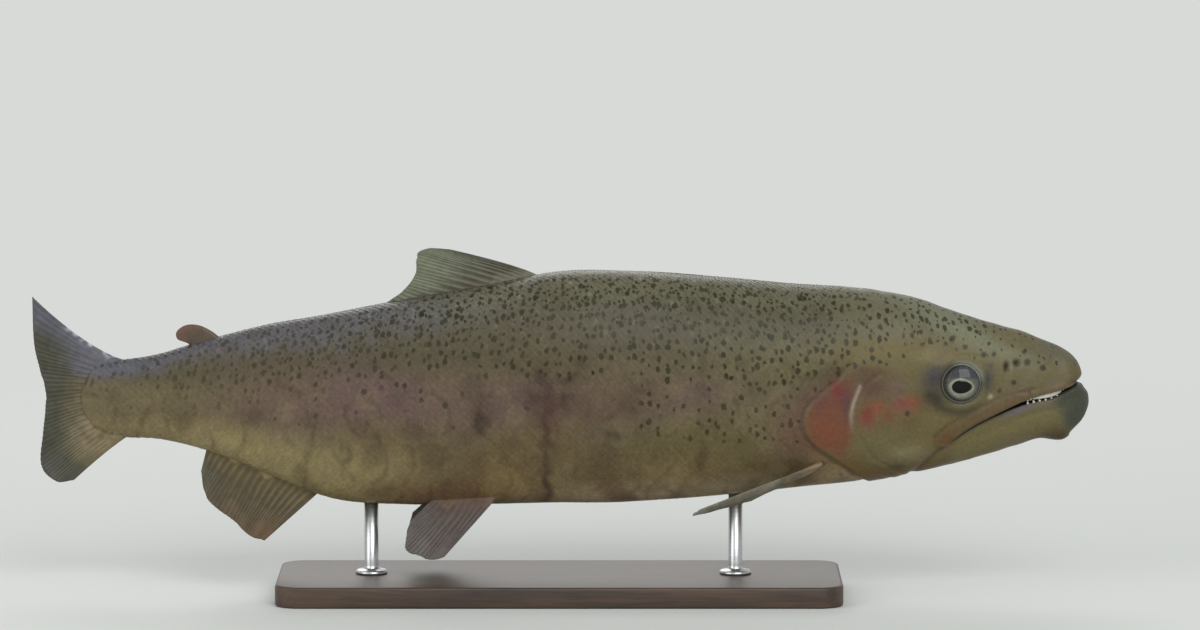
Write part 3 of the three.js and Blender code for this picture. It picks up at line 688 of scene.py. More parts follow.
def painted(name, roughness, grain, *finish):
    """Airbrushed resin under a clear coat: the paint comes from the mesh, slightly uneven at a
    grain of that many millimetres. Finish gives the coat's weight and roughness, and how strongly
    the paint itself reflects."""
    material, tree, shader = new_material(name, *finish)
    paint = node(tree, "Attribute", {}, attribute_name="paint")
    at = node(tree, "TexCoord", {}).outputs["Object"]
    noise = node(tree, "TexNoise", {"Vector": at, "Scale": 1 / (grain * MM), "Detail": 4})
    uneven = shaded(tree, paint, noise, 0.3, 0.7, 0.85, 1.15)
    gloss = node(tree, "MapRange", [noise, 0, 1, roughness * 0.8, roughness * 1.2])
    feed(tree, shader, {"Base Color": uneven, "Roughness": gloss})
    return material


# ---- skin
RINGS_REAR = 132
RINGS_HEAD = 190
RINGS_CAP = 34
JOIN_REACH = 9  # the smoothing where the cap begins reaches this many rings each way
JOIN_PASSES = 24
HEAD_FROM = 132
CAP_ROOM = 24  # the rounded front's length on the unwrap
UPPER, LIPS, LOWER = 70, 10, 48  # steps down one side: above the mouth, across it and below it
LIP_HEIGHTS = np.array([0, 0.03, 0.08, 0.2, 0.36, 0.5, 0.64, 0.8, 0.92, 0.97, 1])
LIP_DEPTHS = np.array([0, 0.3, 0.62, 0.88, 1, 1, 1, 0.88, 0.62, 0.3, 0])


def skin_u(x):
    """Place along the unwrap: the head has twice the room that its length would give."""
    rear, head = HEAD_FROM - TAIL_END, CAP_AT + CAP_ROOM - HEAD_FROM
    grown = np.clip(x - TAIL_END, 0, rear) + 2 * np.clip(x - HEAD_FROM, 0, head)
    return 0.01 + 0.98 * grown / (rear + 2 * head)


def lip_angle(ring, side, angles):
    """The angle on each ring at which the ring crosses a lip's edge, which lies off the mouth's
    line by a share of its opening."""
    x, z = ring[..., 0], ring[..., 2]
    over = z - along(MOUTH, x) - side * along(MOUTH, x, 2)
    first = np.clip((over < 0).argmax(axis=-1), 1, None)
    rows = np.arange(len(ring))
    before, after = over[rows, first - 1], over[rows, first]
    step = np.clip(before / (before - after), 0, 1)
    return angles[0, first - 1] + step * (angles[0, first] - angles[0, first - 1])


def one_side(upper, lower, mouthed):
    """Angles down one side of each ring: even steps to the upper lip's edge, the lips' own steps
    and even steps to the belly. Behind the mouth the lips' steps are even too."""
    top = upper[:, None] * np.linspace(0, 1, UPPER + 1)[:-1]
    heights = np.linspace(0, 1, LIPS + 1) * (1 - mouthed[:, None]) + LIP_HEIGHTS * mouthed[:, None]
    middle = upper[:, None] + (lower - upper)[:, None] * heights
    bottom = lower[:, None] + (np.pi - lower)[:, None] * np.linspace(0, 1, LOWER + 1)[1:]
    return np.concatenate([top, middle, bottom], 1)


def skin():
    """One closed skin from the tail's root to the snout: cross-sections ring after ring, then the
    rounded front's rings shrinking to the notch. The relief moves each point along the surface's
    normal, and between the lips the skin folds inwards to the mouth's back, in painted shade."""
    x = np.concatenate([
        np.linspace(TAIL_END, HEAD_FROM, RINGS_REAR, endpoint=False),
        np.linspace(HEAD_FROM, CAP_AT, RINGS_HEAD),
    ])
    share = np.cos(np.linspace(0, np.pi / 2, RINGS_CAP + 1))[1:-1]
    fan = np.linspace(0, np.pi, 721)[None]
    steps = UPPER + LIPS + LOWER

    # Angles of the lips' edges on every ring. Behind the mouth's corner they part to even steps.
    mouthed = ramp(x, 150, MOUTH_CORNER)
    even = np.pi * UPPER / steps, np.pi * (UPPER + LIPS) / steps
    reached = np.maximum(x, MOUTH_CORNER)[:, None]
    shown = np.maximum(share, 0.12)[:, None]
    edges = [lip_angle(section(reached, fan), side, fan) for side in (0.5, -0.5)]
    upper, lower = (even[k] + (edges[k] - even[k]) * mouthed for k in (0, 1))
    rings = one_side(upper, lower, ramp(x, 212, 226))
    edges = [lip_angle(cap(fan, shown), side, fan) for side in (0.5, -0.5)]
    front = one_side(*edges, np.ones(len(share)))
    turned = [np.concatenate([a, 2 * np.pi - a[:, -2:0:-1]], 1) for a in (rings, front)]
    plain = np.concatenate([section(x[:, None], turned[0]), cap(turned[1], share[:, None])])
    join = len(x)
    for _ in range(JOIN_PASSES):
        near = plain[join - JOIN_REACH : join + JOIN_REACH]
        near[1:-1] += 0.25 * np.diff(near, 2, axis=0)

    # The relief, along the outward normals.
    round_it = np.roll(plain, -1, 1) - np.roll(plain, 1, 1)
    normal = unit(np.cross(np.gradient(plain, axis=0), round_it))
    px, py, pz = np.moveaxis(plain, 2, 0)
    points = plain + normal * relief(px, py, pz)[..., None]

    # The mouth: between the lips each point moves towards the fold's back.
    depth = np.zeros(steps + 1)
    depth[UPPER : UPPER + LIPS + 1] = LIP_DEPTHS
    depth = np.concatenate([depth, depth[-2:0:-1]])
    opening = ramp(np.concatenate([x, 0 * share + CAP_AT]), 219, 256)
    inward = depth[None] * opening[:, None]
    back = xyz(
        np.minimum(points[..., 0], CAP_AT) - 7 * ramp(points[..., 0], 268, 284),
        points[..., 1] * 0.2,
        along(MOUTH, np.minimum(px, 282)) + 0.4 * (pz - along(MOUTH, px)),
    )
    points += (back - points) * inward[..., None]
    pinch = np.concatenate([0 * x, ramp(share, 0.16, 0.02)])[:, None]
    points[..., 0] -= 5 * pinch * (1 - inward)

    # Ends, unwrap and markings.
    ends = (TAIL_END - 0.5, 0, -3.5), (points[-1, :, 0].mean() - 1, 0, NOTCH - 0.6)
    segment = np.linalg.norm(np.roll(plain, -1, 1) - plain, axis=2)
    arc = np.concatenate([np.zeros((len(segment), 1)), np.cumsum(segment, 1)[:, :-1]], 1)
    whole = segment.sum(1, keepdims=True)
    forward = skin_u(np.concatenate([x, CAP_AT + CAP_ROOM * (1 - share)]))[:, None] + 0 * arc
    uv = np.stack([forward, (arc / whole + 0.5) % 1], -1).reshape(-1, 2)
    uv = np.concatenate([[[0, 0.5]], uv, [[1, 0.5]]])
    lie = xyz(px, np.where(arc <= whole / 2, arc, arc - whole), 0).reshape(-1, 3)
    lie = np.concatenate([lie[:1], lie, lie[-1:]])
    marked = tube(plain, *ends)[0]
    within = np.concatenate([[0], (inward * ramp(depth, 0, 0.5)).ravel(), [1]])
    # painted shade: the mouth's fold darkens to near-black with its depth
    hide = lay(hide_colour(marked), ("#1d1615", 0.95 * within))
    solid, faces = tube(points, *ends)
    return pose(solid), faces, uv, marked, hide, 1 - within, lie


# ---- scales
SCALE_ROW = 1.8  # one row of scales behind another, each shifted by half a scale
SCALE_PITCH = 4.2  # one scale beside another in a row
SCALE_LENGTH = 5.2
SCALE_WIDTH = 4.3
SCALE_PLATE = 0.16
SCALE_PATCH = 0.003  # the size of a scale's patch on the unwrap
SCALES_END = -2.2  # the foremost roots' distance ahead of the gill cover's edge
# A scale's outline, root to rear edge: shares of its length and width, and its height.
SCALE_OUTLINE = np.array([
    (-0.34, -0.25, -0.22), (-0.34, 0.25, -0.22), (0.02, 0.46, -0.02), (0.24, 0.49, 0.1),
    (0.42, 0.36, 0.21), (0.55, 0.16, 0.31), (0.55, -0.16, 0.31), (0.42, -0.36, 0.21),
    (0.24, -0.49, 0.1), (0.02, -0.46, -0.02),
])
SCALE_CENTRE = (0.2, 0, 0.19)


def scale_roots():
    """Where each scale grows: rows along the body, as many to a row as its girth holds, every
    other row shifted by half a scale. Gives station, angle, distance from the back and row share."""
    stations = np.arange(TAIL_END + 8, COLLAR[:, 1].max(), SCALE_ROW)
    angles, arcs = girth(stations)
    found = []
    for i, at in enumerate(stations):
        half = arcs[i, -1]
        count = int(round(2 * half / SCALE_PITCH))
        far = ((np.arange(count) + 0.5 * (i % 2)) / count % 1) * 2 * half
        from_back = np.where(far <= half, far, far - 2 * half)
        angle = np.interp(np.abs(from_back), arcs[i], angles) * np.sign(from_back)
        found.append(np.stack([0 * angle + at, angle, from_back, far / (2 * half)], 1))
    return np.concatenate(found)


def scales(roots, seed):
    """Closed thin plates that lie back over one another: each is its outline and a raised centre,
    laid on the skin by the skin's own directions at the root, over a copy a plate lower."""
    rng = np.random.default_rng(seed)
    at, angle, from_back, share = roots.T
    here = section(at, angle)
    rearward = unit(section(at - 1.5, angle) - section(at + 1.5, angle))
    across = section(at, angle + 0.02) - section(at, angle - 0.02)
    across = unit(across - rearward * (across * rearward).sum(1, keepdims=True))
    normal = np.cross(across, rearward)
    here = here + normal * relief(*here.T)[:, None]
    height, ahead = here[:, 2], collar_offset(at, here[:, 2])
    form = np.concatenate([SCALE_OUTLINE, [SCALE_CENTRE]])
    form = np.concatenate([form, form - (0, 0, SCALE_PLATE)])
    grown = rng.uniform(0.92, 1.08, (len(at), 1))
    grown *= 0.65 + 0.35 * (ramp(at, TAIL_END, TAIL_END + 30) * ramp(ahead, 2, -9))[:, None]
    b = form[:, 0] * SCALE_LENGTH * grown
    a = form[:, 1] * SCALE_WIDTH * grown
    h = form[:, 2] * (0.3 + 0.55 * ramp(ahead, 0, -34)[:, None])
    h += rng.uniform(-0.03, 0.03, (len(at), 1)) * (form[:, 0] > 0)
    h -= 0.2 * (ramp(ahead, -30, -3) * ramp(height, 22, 38))[:, None]
    points = here[:, None] + b[..., None] * rearward[:, None]
    points += a[..., None] * across[:, None] + h[..., None] * normal[:, None]

    rim, half = np.arange(len(SCALE_OUTLINE)), len(SCALE_OUTLINE) + 1
    after, count = (rim + 1) % len(rim), 2 * half
    top = xyz(half - 1, rim, after)
    bottom = xyz(count - 1, after + half, rim + half)
    wall = np.stack([rim, rim + half, after + half, after], -1)
    first = (np.arange(len(at)) * count)[:, None, None]
    faces = [(first + group).reshape(-1, group.shape[1]) for group in (top, bottom, wall)]

    u = skin_u(at)[:, None] - form[:, 0] * SCALE_PATCH
    v = ((share + 0.5) % 1)[:, None] + form[:, 1] * SCALE_PATCH
    lie = xyz(points[..., 0], from_back[:, None] + a, 0)
    # A few scales near the dorsal fin get painted highlights (glints). Every scale's tone also
    # varies at random, and each rear tip is a little darker.
    glint = (rng.uniform(0, 1, len(at)) > 0.965) * ramp(height, 12, 40) * ramp(at, 130, 90)
    tone_and_glint = np.repeat(rng.uniform(0.92, 1.08, len(at)) + 0.35 * glint, count)
    tone_and_glint *= np.tile(np.where(form[:, 0] > 0.5, 0.94, 1), len(at))
    uv = np.stack([u, v], -1).reshape(-1, 2)
    return points.reshape(-1, 3), faces, uv, lie.reshape(-1, 3), tone_and_glint[:, None]


def sharpen_rims(mesh):
    """Keeps each scale's flat top apart from its rim in the shading: both ends of such an edge
    are among the outline's points, which come first in each scale."""
    ends = np.empty(2 * len(mesh.edges), int)
    mesh.edges.foreach_get("vertices", ends)
    within = ends.reshape(-1, 2) % (2 * len(SCALE_OUTLINE) + 2)
    mesh.edges.foreach_set("use_edge_sharp", (within < len(SCALE_OUTLINE)).all(1))


# ---- fins
# Each fin's rays fan from the points of its base to those of its edge. Thick is at its base, root
# is how much fleshier it is at its foot and over what share of its height, and cup bows the fin to
# its left. Lean crowds the rays' feet forwards, and flare makes the first and last rays spread
# late, or early where it is below 0. Paint gives the colours of base, web and edge.
FINS = {
    "dorsal_fin": {
        "base": [(-10, 0, 66), (-54, 0, 55), (-97, 0, 47)],
        "edge": [
            (-62, 0, 82.4), (-74, 0, 83), (-80.5, 0, 80), (-81.5, 0, 69), (-87, 0, 60.5),
            (-98.5, 0, 51.5),
        ],
        "cup": 1.2,
        "rays": 14,
        "lean": 2.1,
        "flare": (-0.28, 0),
        "paint": ("#4a4535", "#4e4f40", "#5a5c4c"),
    },
    "tail_fin": {
        "base": [(-243, 0, 17.5), (-251, 0, -3), (-238, 0, -21)],
        "edge": [
            (-300, 0, 54), (-299, 0, 26), (-295.5, 0, 10), (-293, 0, -8), (-294.5, 0, -24),
            (-295.5, 0, -43), (-288, 0, -52.2), (-277, 0, -51),
        ],
        "thick": 3.2,
        "root": (8, 0.42),
        "cup": 3,
        "rays": 22,
        "flare": (0.5, 0.2),
        "paint": ("#5c543c", "#3d3c2b", "#3e3d32"),
    },
    "anal_fin": {
        "base": [(-134, 0, -54), (-168, 0, -41), (-200, 0, -29)],
        "edge": [(-168, 0, -84.5), (-176, 0, -82), (-185, 0, -74), (-201, 0, -60), (-204, 0, -45)],
        "cup": -1.5,
        "rays": 16,
        "paint": ("#625639", "#4f4530", "#574935"),
    },
    "pelvic_fin_left": {
        "base": [(-33, 13, -55), (-70, 10, -57)],
        "edge": [(-65, 25, -90), (-73, 25, -91.5), (-87, 21, -86), (-84, 15, -70)],
        "cup": 1.5,
        "rays": 10,
        "paint": ("#4c3a31", "#4a413c", "#514a46"),
    },
    "pectoral_fin_left": {
        "base": [(149, 25, -36), (139, 20, -43)],
        "edge": [(79, 47, -60), (75, 44, -63.5), (88, 34, -62), (108, 25, -58)],
        "cup": 2,
        "rays": 13,
        "paint": ("#524c3e", "#716c5c", "#85827a"),
    },
}
for pair in ("pelvic_fin", "pectoral_fin"):
    left = FINS[pair + "_left"]
    turned = {key: [(x, -y, z) for x, y, z in left[key]] for key in ("base", "edge")}
    FINS[pair + "_right"] = {**left, **turned, "cup": -left["cup"]}


RAY_STEPS, OUT_STEPS = 10, 56  # a fin's faces across each ray and from base to edge
FIN_EDGE = 0.7  # thickness at the edge


def ray_comb(u, v, rays):
    """1 on a ray and 0 on the web between: a raised cosine across the fin, which doubles outwards
    where each ray has branched in two."""
    single = (0.5 + 0.5 * np.cos(2 * np.pi * rays * u)) ** 1.6
    double = (0.5 + 0.5 * np.cos(4 * np.pi * rays * u)) ** 1.3
    return single + (double - single) * ramp(v, 0.42, 0.72)


def both_sides(left, right):
    """Rings that run out along one side of a plate and back along the other."""
    return np.concatenate([left, right[:, ::-1]], 1)


def fin_surface(fin, seed):
    """A closed plate between the fin's base and edge curves: straight rays bowed sideways, with a
    thickness that thins outwards, swells on each ray and rounds off at both outer rays."""
    u = np.linspace(0, 1, fin["rays"] * RAY_STEPS + 1)
    v = np.linspace(0, 1, OUT_STEPS + 1)
    base = curve(fin["base"], u ** fin.get("lean", 1))[:, None]
    span = curve(fin["edge"], u)[:, None] - base
    web = 1 - ray_comb(u, 1.0, fin["rays"])
    worn = np.clip(drift(xyz(60 * u, 0, 0), 11, seed), 0, 1) ** 2
    reach = 1 - (0.004 * web + 0.022 * worn) * np.sin(np.pi * np.clip(u, 0, 1)) ** 0.5
    way = v[None, :, None] * reach[:, None, None]
    first, last = fin.get("flare", (0, 0))
    bend = 1 + np.interp(u, (0, 0.5, 1), (first, 0, last))[:, None]
    middle = base + span * way
    middle[..., 2] = base[..., 2] + span[..., 2] * way[..., 0] ** bend
    normal = unit(np.cross(np.gradient(base + span * 0.5, axis=0), span))
    uu, vv = np.meshgrid(u, v, indexing="ij")
    comb = ray_comb(uu, vv, fin["rays"])
    fleshy, foot = fin.get("root", (1.6, 0.1))
    thick = fin.get("thick", 2.6)
    plate = thick + (FIN_EDGE - thick) * vv**0.6
    plate += fleshy * np.sqrt(np.clip(1 - (2 * uu - 1) ** 2, 0, 1)) * bell(vv, foot)
    plate *= np.clip(1 - np.abs(2 * uu - 1) ** 24, 0.2, 1)
    joints = 1 + 0.1 * np.sin(2 * np.pi * vv * 26) * ramp(vv, 0.35, 0.6)
    plate *= 1 - 0.48 * ramp(vv, 0.7 * foot, 0.2 + foot) * (1 - comb * joints)
    bow = fin["cup"] * np.sin(np.pi * vv) * np.sin(np.pi * uu)
    bow += 0.18 * np.sin(2 * np.pi * uu * fin["rays"] / 3 + 2 * vv) * vv
    sides = [middle + normal * (bow + side * plate / 2)[..., None] for side in (1, -1)]
    grid = (both_sides(g, g).ravel() for g in (uu, vv, comb))
    return both_sides(*sides).reshape(-1, 3), plate_faces(len(u), len(v)), *grid


def fin_paint(name, points, u, v, comb):
    """Web and ray colours from base to edge, with each fin's own tinges. On the tail fin the violet
    upper edge is partly painted sheen, and its glints are painted highlights.
    """
    base, web, tip = FINS[name]["paint"]
    x, _, z = points.T
    uneven = drift(points, 14, 11)
    rooted = {"tail_fin": 0.85, "anal_fin": 0.14}.get(name, 0.26)
    tinges = {
        "dorsal_fin": (
            ("#6a6e59", 0.8 * ramp(v, 0.3, 0.8) * ramp(u, 0.02, 0.3)),
            ("#514c3a", 0.7 * ramp(v, 0.6, 0.2)),
        ),
        "tail_fin": (
            # violet along the upper edge: partly the fin's own tint, partly painted sheen
            ("#55555f", 0.8 * ramp(u, 0.13, 0.03)),
            ("#3c3d2f", 0.7, -286, -14, 9, 16),
            ("#54514f", 0.4, -291, -45, 5, 9),
        ),
        "anal_fin": (
            ("#5f4830", 0.6 * ramp(u, 0.5, 0.1) * ramp(v, 0.45, 0.9)),
            ("#4b4e40", 0.6 * ramp(u, 0.55, 0.95) * ramp(v, 0.3, 0.8)),
        ),
    }.get(name, ())
    paint = lay(
        linear(web),
        (base, ramp(v + 0.08 * uneven, 0.55, 0.1)),
        (tip, ramp(v + 0.08 * uneven, 0.72, 0.98)),
        *tinges,
        at=(x, z),
    )
    rayed = ramp(v, 0.45 * rooted, rooted)
    paint *= ((1 + (0.32 * comb - 0.2) * rayed) * (1 + 0.06 * uneven))[:, None]
    skin_share = ramp(v + 0.05 * uneven, rooted, 0.5 * rooted)[:, None]
    if name.startswith("pelvic_fin"):
        skin_share *= 0.3
    paint = paint * (1 - skin_share) + hide_colour(points) * skin_share
    if name == "tail_fin":
        # painted highlights: pale glints along the tail fin's upper edge
        upper_edge = stroke(x, z, [(-279, 37), (-267, 28), (-254, 21)], 2.2)
        glints = 0.8 * ramp(drift(points, 6, 14), -0.4, 0.6) * upper_edge
        paint = lay(paint, ("#bcbccb", glints))
    return paint


def adipose_surface():
    """The small fleshy fin without rays: the same plate as a fin's, thick and rounded."""
    u, v = np.linspace(0, 1, 49), np.linspace(0, 1, 33)
    base = curve([(-191, 0, 30.4), (-206, 0, 25)], u)[:, None]
    edge = curve([
        (-192, 0, 31), (-197.5, 0, 35.2), (-205, 0, 38.6), (-212.5, 0, 38.4), (-217.6, 0, 34.4),
        (-217, 0, 30.6), (-212, 0, 28.6), (-207.5, 0, 26),
    ], u)[:, None]
    middle = base + (edge - base) * v[None, :, None]
    uu, vv = np.meshgrid(u, v, indexing="ij")
    thick = (4.2 - 2.6 * vv) * np.clip(1 - np.abs(2 * uu - 1) ** 6, 0.15, 1) ** 0.5
    offset = xyz(0, thick * np.clip(1 - vv**8, 0.2, 1) ** 0.5 / 2, 0)
    points = both_sides(middle + offset, middle - offset).reshape(-1, 3)
    paint = lay(linear("#4d4034"), ("#5a4332", ramp(both_sides(vv, vv).ravel(), 0.5, 0.95)))
    return points, plate_faces(len(u), len(v)), paint


# ---- eyes
def round_eye(radius, turn):
    """Places on rings round the eye's middle, in the side view."""
    return EYE_AT + radius * np.cos(turn), EYE_HEIGHT + radius * np.sin(turn)


def eye_surface(side):
    """A flattened ball turned about the sideways axis, as an ellipsoid with its lens raised a
    little at the pupil, painted by distance and direction from the pupil's middle."""
    polar = np.linspace(0, np.pi, 111)[1:-1, None]
    polar = polar - 0.32 * np.sin(2 * polar)
    turn = -side * turns(144)
    radius = np.sin(polar) * EYE_RADIUS
    x, z = round_eye(radius, turn)
    off_x, off_z = x - (EYE_AT - 0.3), z - (EYE_HEIGHT - 1.8)
    far = np.hypot(off_x, off_z / 0.86)
    toward = np.arctan2(off_z, off_x)
    pupil = 4.1 + 0.7 * np.cos(toward) ** 2 + 1.2 * bell(toward, 0.45)
    lens = LENS_RISE * np.sqrt(np.clip(1 - (far / 5.2) ** 2, 0, 1)) * (np.cos(polar) > 0)
    y = EYE_FROM + np.cos(polar) * EYE_BULGE + lens
    ring = far - pupil
    grain = 0.5 + 0.5 * np.sin(23 * toward + 3 * np.sin(5 * toward))
    outer = 7.6 - 1.7 * ramp(off_z, 0.5, 5) + 0.3 * np.cos(toward)
    pale = (0.7 + 0.25 * np.cos(toward - 3.9)) * ramp(far, outer + 0.9, outer - 0.9)
    iris = lay(
        linear("#55564e"),
        ("#686a5d", 0.5 * grain * ramp(far, 9.4, 5)),
        ("#3c3e42", 0.92 * ramp(off_z, 3.2, 6)),
        ("#7c7f70", pale),
        ("#929584", 0.65 * bell(ring - 0.9, 0.7)),
        ("#484843", 0.7 * ramp(radius, 9, 10.8)),
        ("#0d0f0b", ramp(ring, 0.5, 0.1)),
    )
    front = EYE_FROM + EYE_BULGE + 0.9 * LENS_RISE
    ends = [(EYE_AT, side * y_at, EYE_HEIGHT) for y_at in (front, EYE_FROM - EYE_BULGE)]
    paint = tube(iris, linear("#0d0f0b"), linear("#3b3a33"))[0]
    return *tube(xyz(x, side * y, z), *ends), paint


def eye_rim(side):
    """The lid's edge: a rounded ring round the eye's opening that follows the head's surface."""
    turn, bead = turns(120)[:, None], turns(12)
    outer_x, outer_z = round_eye(EYE_OPENING + 1.5, turn)
    x, z = round_eye(EYE_OPENING + 0.4 + 0.55 * np.cos(bead), turn)
    y = half_width(outer_x, outer_z)
    y = y + relief(outer_x, side * y, outer_z) / 0.93 + 0.5 * side * np.sin(bead)
    points = xyz(x, side * y, z).reshape(-1, 3)
    here = np.arange(x.size).reshape(x.shape)
    beyond = np.roll(here, -1, 0)
    faces = np.stack([here, np.roll(here, -1, 1), np.roll(beyond, -1, 1), beyond], -1)
    # painted highlight on the rim's upper front, the lit side
    lit = 0.8 * ramp(over_eye(points[:, 0], points[:, 2]), 5, 10)
    paint = lay(linear("#4a4941"), ("#767a6d", lit))
    return points, [faces.reshape(-1, 4)], paint


# ---- teeth
TOOTH_HEIGHT = 2.8
TEETH_FROM, TEETH_TO = 265, 287
GUM_FROM = 268


def gum(side):
    """The pale ridge inside the upper lip that the front teeth stand in: an oval carried along the
    lip, tapered at both ends as the square root of a half sine."""
    along_it, turn = np.linspace(0, 1, 40)[:, None], turns(14)
    x = GUM_FROM + (CAP_AT - GUM_FROM) * along_it
    swell = np.sqrt(np.sin(np.pi * (0.02 + 0.96 * along_it)))
    middle = along(MOUTH, x) + 0.12 * along(MOUTH, x, 2) + 0.3
    wide = half_width(np.minimum(x, CAP_AT), middle + 2) * 0.9 - 1.6
    y = side * (wide + 0.9 * swell * np.cos(turn))
    z = middle + (1.2 + 0.5 * along_it) * swell * np.sin(turn) * side
    ends = [(x[k, 0], side * wide[k, 0], middle[k, 0]) for k in (0, -1)]
    return tube(xyz(x, y, z), *ends)


def tooth(at, way, side):
    """A curved cone on a jaw, up or down: rings that shrink as a quarter sine towards a tip that
    leans back."""
    up, turn = np.linspace(0, 1, 7)[:, None], turns(10)
    lip = float(along(MOUTH, at) - way * along(MOUTH, at, 2) / 2)
    wide = float(half_width(min(at, CAP_AT), lip + 2)) * 0.88
    y = side * (wide - 2 - 1.4 * max(0, at - CAP_AT))
    radius = 0.95 * np.cos(up * np.pi / 2) ** 0.6 + 0.02
    rings = xyz(
        at - 0.5 * up**2 + radius * np.cos(turn),
        y - radius * np.sin(turn) * way,
        lip + way * (up * TOOTH_HEIGHT - 0.8),
    )
    return tube(rings, (at, y, lip - way * 0.8), (at - 0.5, y, lip + way * (TOOTH_HEIGHT - 0.7)))


def teeth():
    """Small teeth along both jaws where the mouth is open, closer above, with their pale gum."""
    parts = [gum(side) for side in (1, -1)]
    gums = sum(len(points) for points, _ in parts)
    for way, pitch in ((-1, 1.7), (1, 3.4)):
        places = np.arange(TEETH_FROM, TEETH_TO, pitch)
        parts += [tooth(at, way, side) for at in places for side in (-1, 1)]
    starts = np.cumsum([0] + [len(points) for points, _ in parts])
    groups = [face + start for (_, faces), start in zip(parts, starts) for face in faces]
    points = np.concatenate([points for points, _ in parts])
    paint = np.tile(linear("#d6d3c4"), (len(points), 1))
    paint[:gums] = linear("#cbc7b8")
    return points, groups, paint


# ---- stand
def rounded_outline(inset):
    """The base's outline seen from above: a rectangle with quarter-circle corners, run round
    clockwise by angle and moved inwards by the inset."""
    corner, turn = BASE["corner"] - inset, turns(112)
    quarter = np.floor(turn / (np.pi / 2)).astype(int)
    centre_x = (BASE["length"] / 2 - BASE["corner"]) * np.array([1, -1, -1, 1])[quarter]
    centre_y = (BASE["width"] / 2 - BASE["corner"]) * np.array([1, 1, -1, -1])[quarter]
    return centre_x + corner * np.cos(turn), -centre_y - corner * np.sin(turn)


def base_board():
    """A board with a bevelled edge: its outline at each height of the edge's profile."""
    bevel, top = BASE["bevel"], BASE["thickness"]
    arc = np.linspace(0, np.pi / 2, 6)
    inset = [6, bevel, *(bevel * (1 - np.sin(arc))), *(bevel * (1 - np.cos(arc))), bevel + 0.6, 6]
    height = [0, 0, *(bevel * (1 - np.cos(arc))), *(top - bevel + bevel * np.sin(arc)), top, top]
    rings = np.array([xyz(*rounded_outline(edge), z) for edge, z in zip(inset, height)])
    return tube(rings, (0, 0, 0), (0, 0, top))


def turned_post(x_at, y_at, profile):
    """A profile of radius and height turned about an upright axis."""
    radius, height = np.array(profile, float).T[..., None]
    turn = turns(64)
    rings = xyz(x_at + radius * np.cos(turn), y_at - radius * np.sin(turn), height)
    return tube(rings, (x_at, y_at, height[0, 0]), (x_at, y_at, height[-1, 0]))


def stained_wood():
    """Planed hardwood stained nearly black-brown under a satin lacquer: the eye gets long fine
    grain along the board, with darker pore lines every millimetre or two."""
    material, tree, shader = new_material("stained_hardwood", 0.12, 0.3)
    figure = stretched_noise(tree, (9, 160, 160), 6)
    lines = stretched_noise(tree, (40, 900, 900), 2)
    tone = node(tree, "ValToRGB", [figure])
    for stop, place_at, code in zip(tone.color_ramp.elements, (0.32, 0.7), ("#2a1d15", "#4f3a2a")):
        stop.position = place_at
        stop.color = rgba(code)
    grained = shaded(tree, tone, lines, 0.35, 0.5, 0.6, 1)
    gloss = node(tree, "MapRange", [figure, 0, 1, 0.42, 0.6])
    bump = node(tree, "Bump", {"Height": lines, "Distance": 0.1 * MM, "Strength": 0.4})
    feed(tree, shader, {"Base Color": grained, "Roughness": gloss, "Normal": bump})
    return material


def brushed_steel():
    """Drawn steel rod brushed round its axis: fine rings of slightly different gloss, every third
    of a millimetre, which spread the highlight along the rod."""
    material, tree, shader = new_material("brushed_steel", Metallic=1)
    brushing = stretched_noise(tree, (60, 60, 3000), 2)
    tone = node(tree, "ValToRGB", [brushing])
    for stop, code in zip(tone.color_ramp.elements, ("#9c9ea0", "#cfd1d2")):
        stop.color = rgba(code)
    gloss = node(tree, "MapRange", [brushing, 0, 1, 0.22, 0.42])
    feed(tree, shader, {"Base Color": tone, "Roughness": gloss})
    return material


# ---- building
FLESH = [
    "head", "lower_jaw", "upper_jaw_plate_left", "upper_jaw_plate_right",
    "gill_cover_left", "gill_cover_right", "trunk", "tail",
]


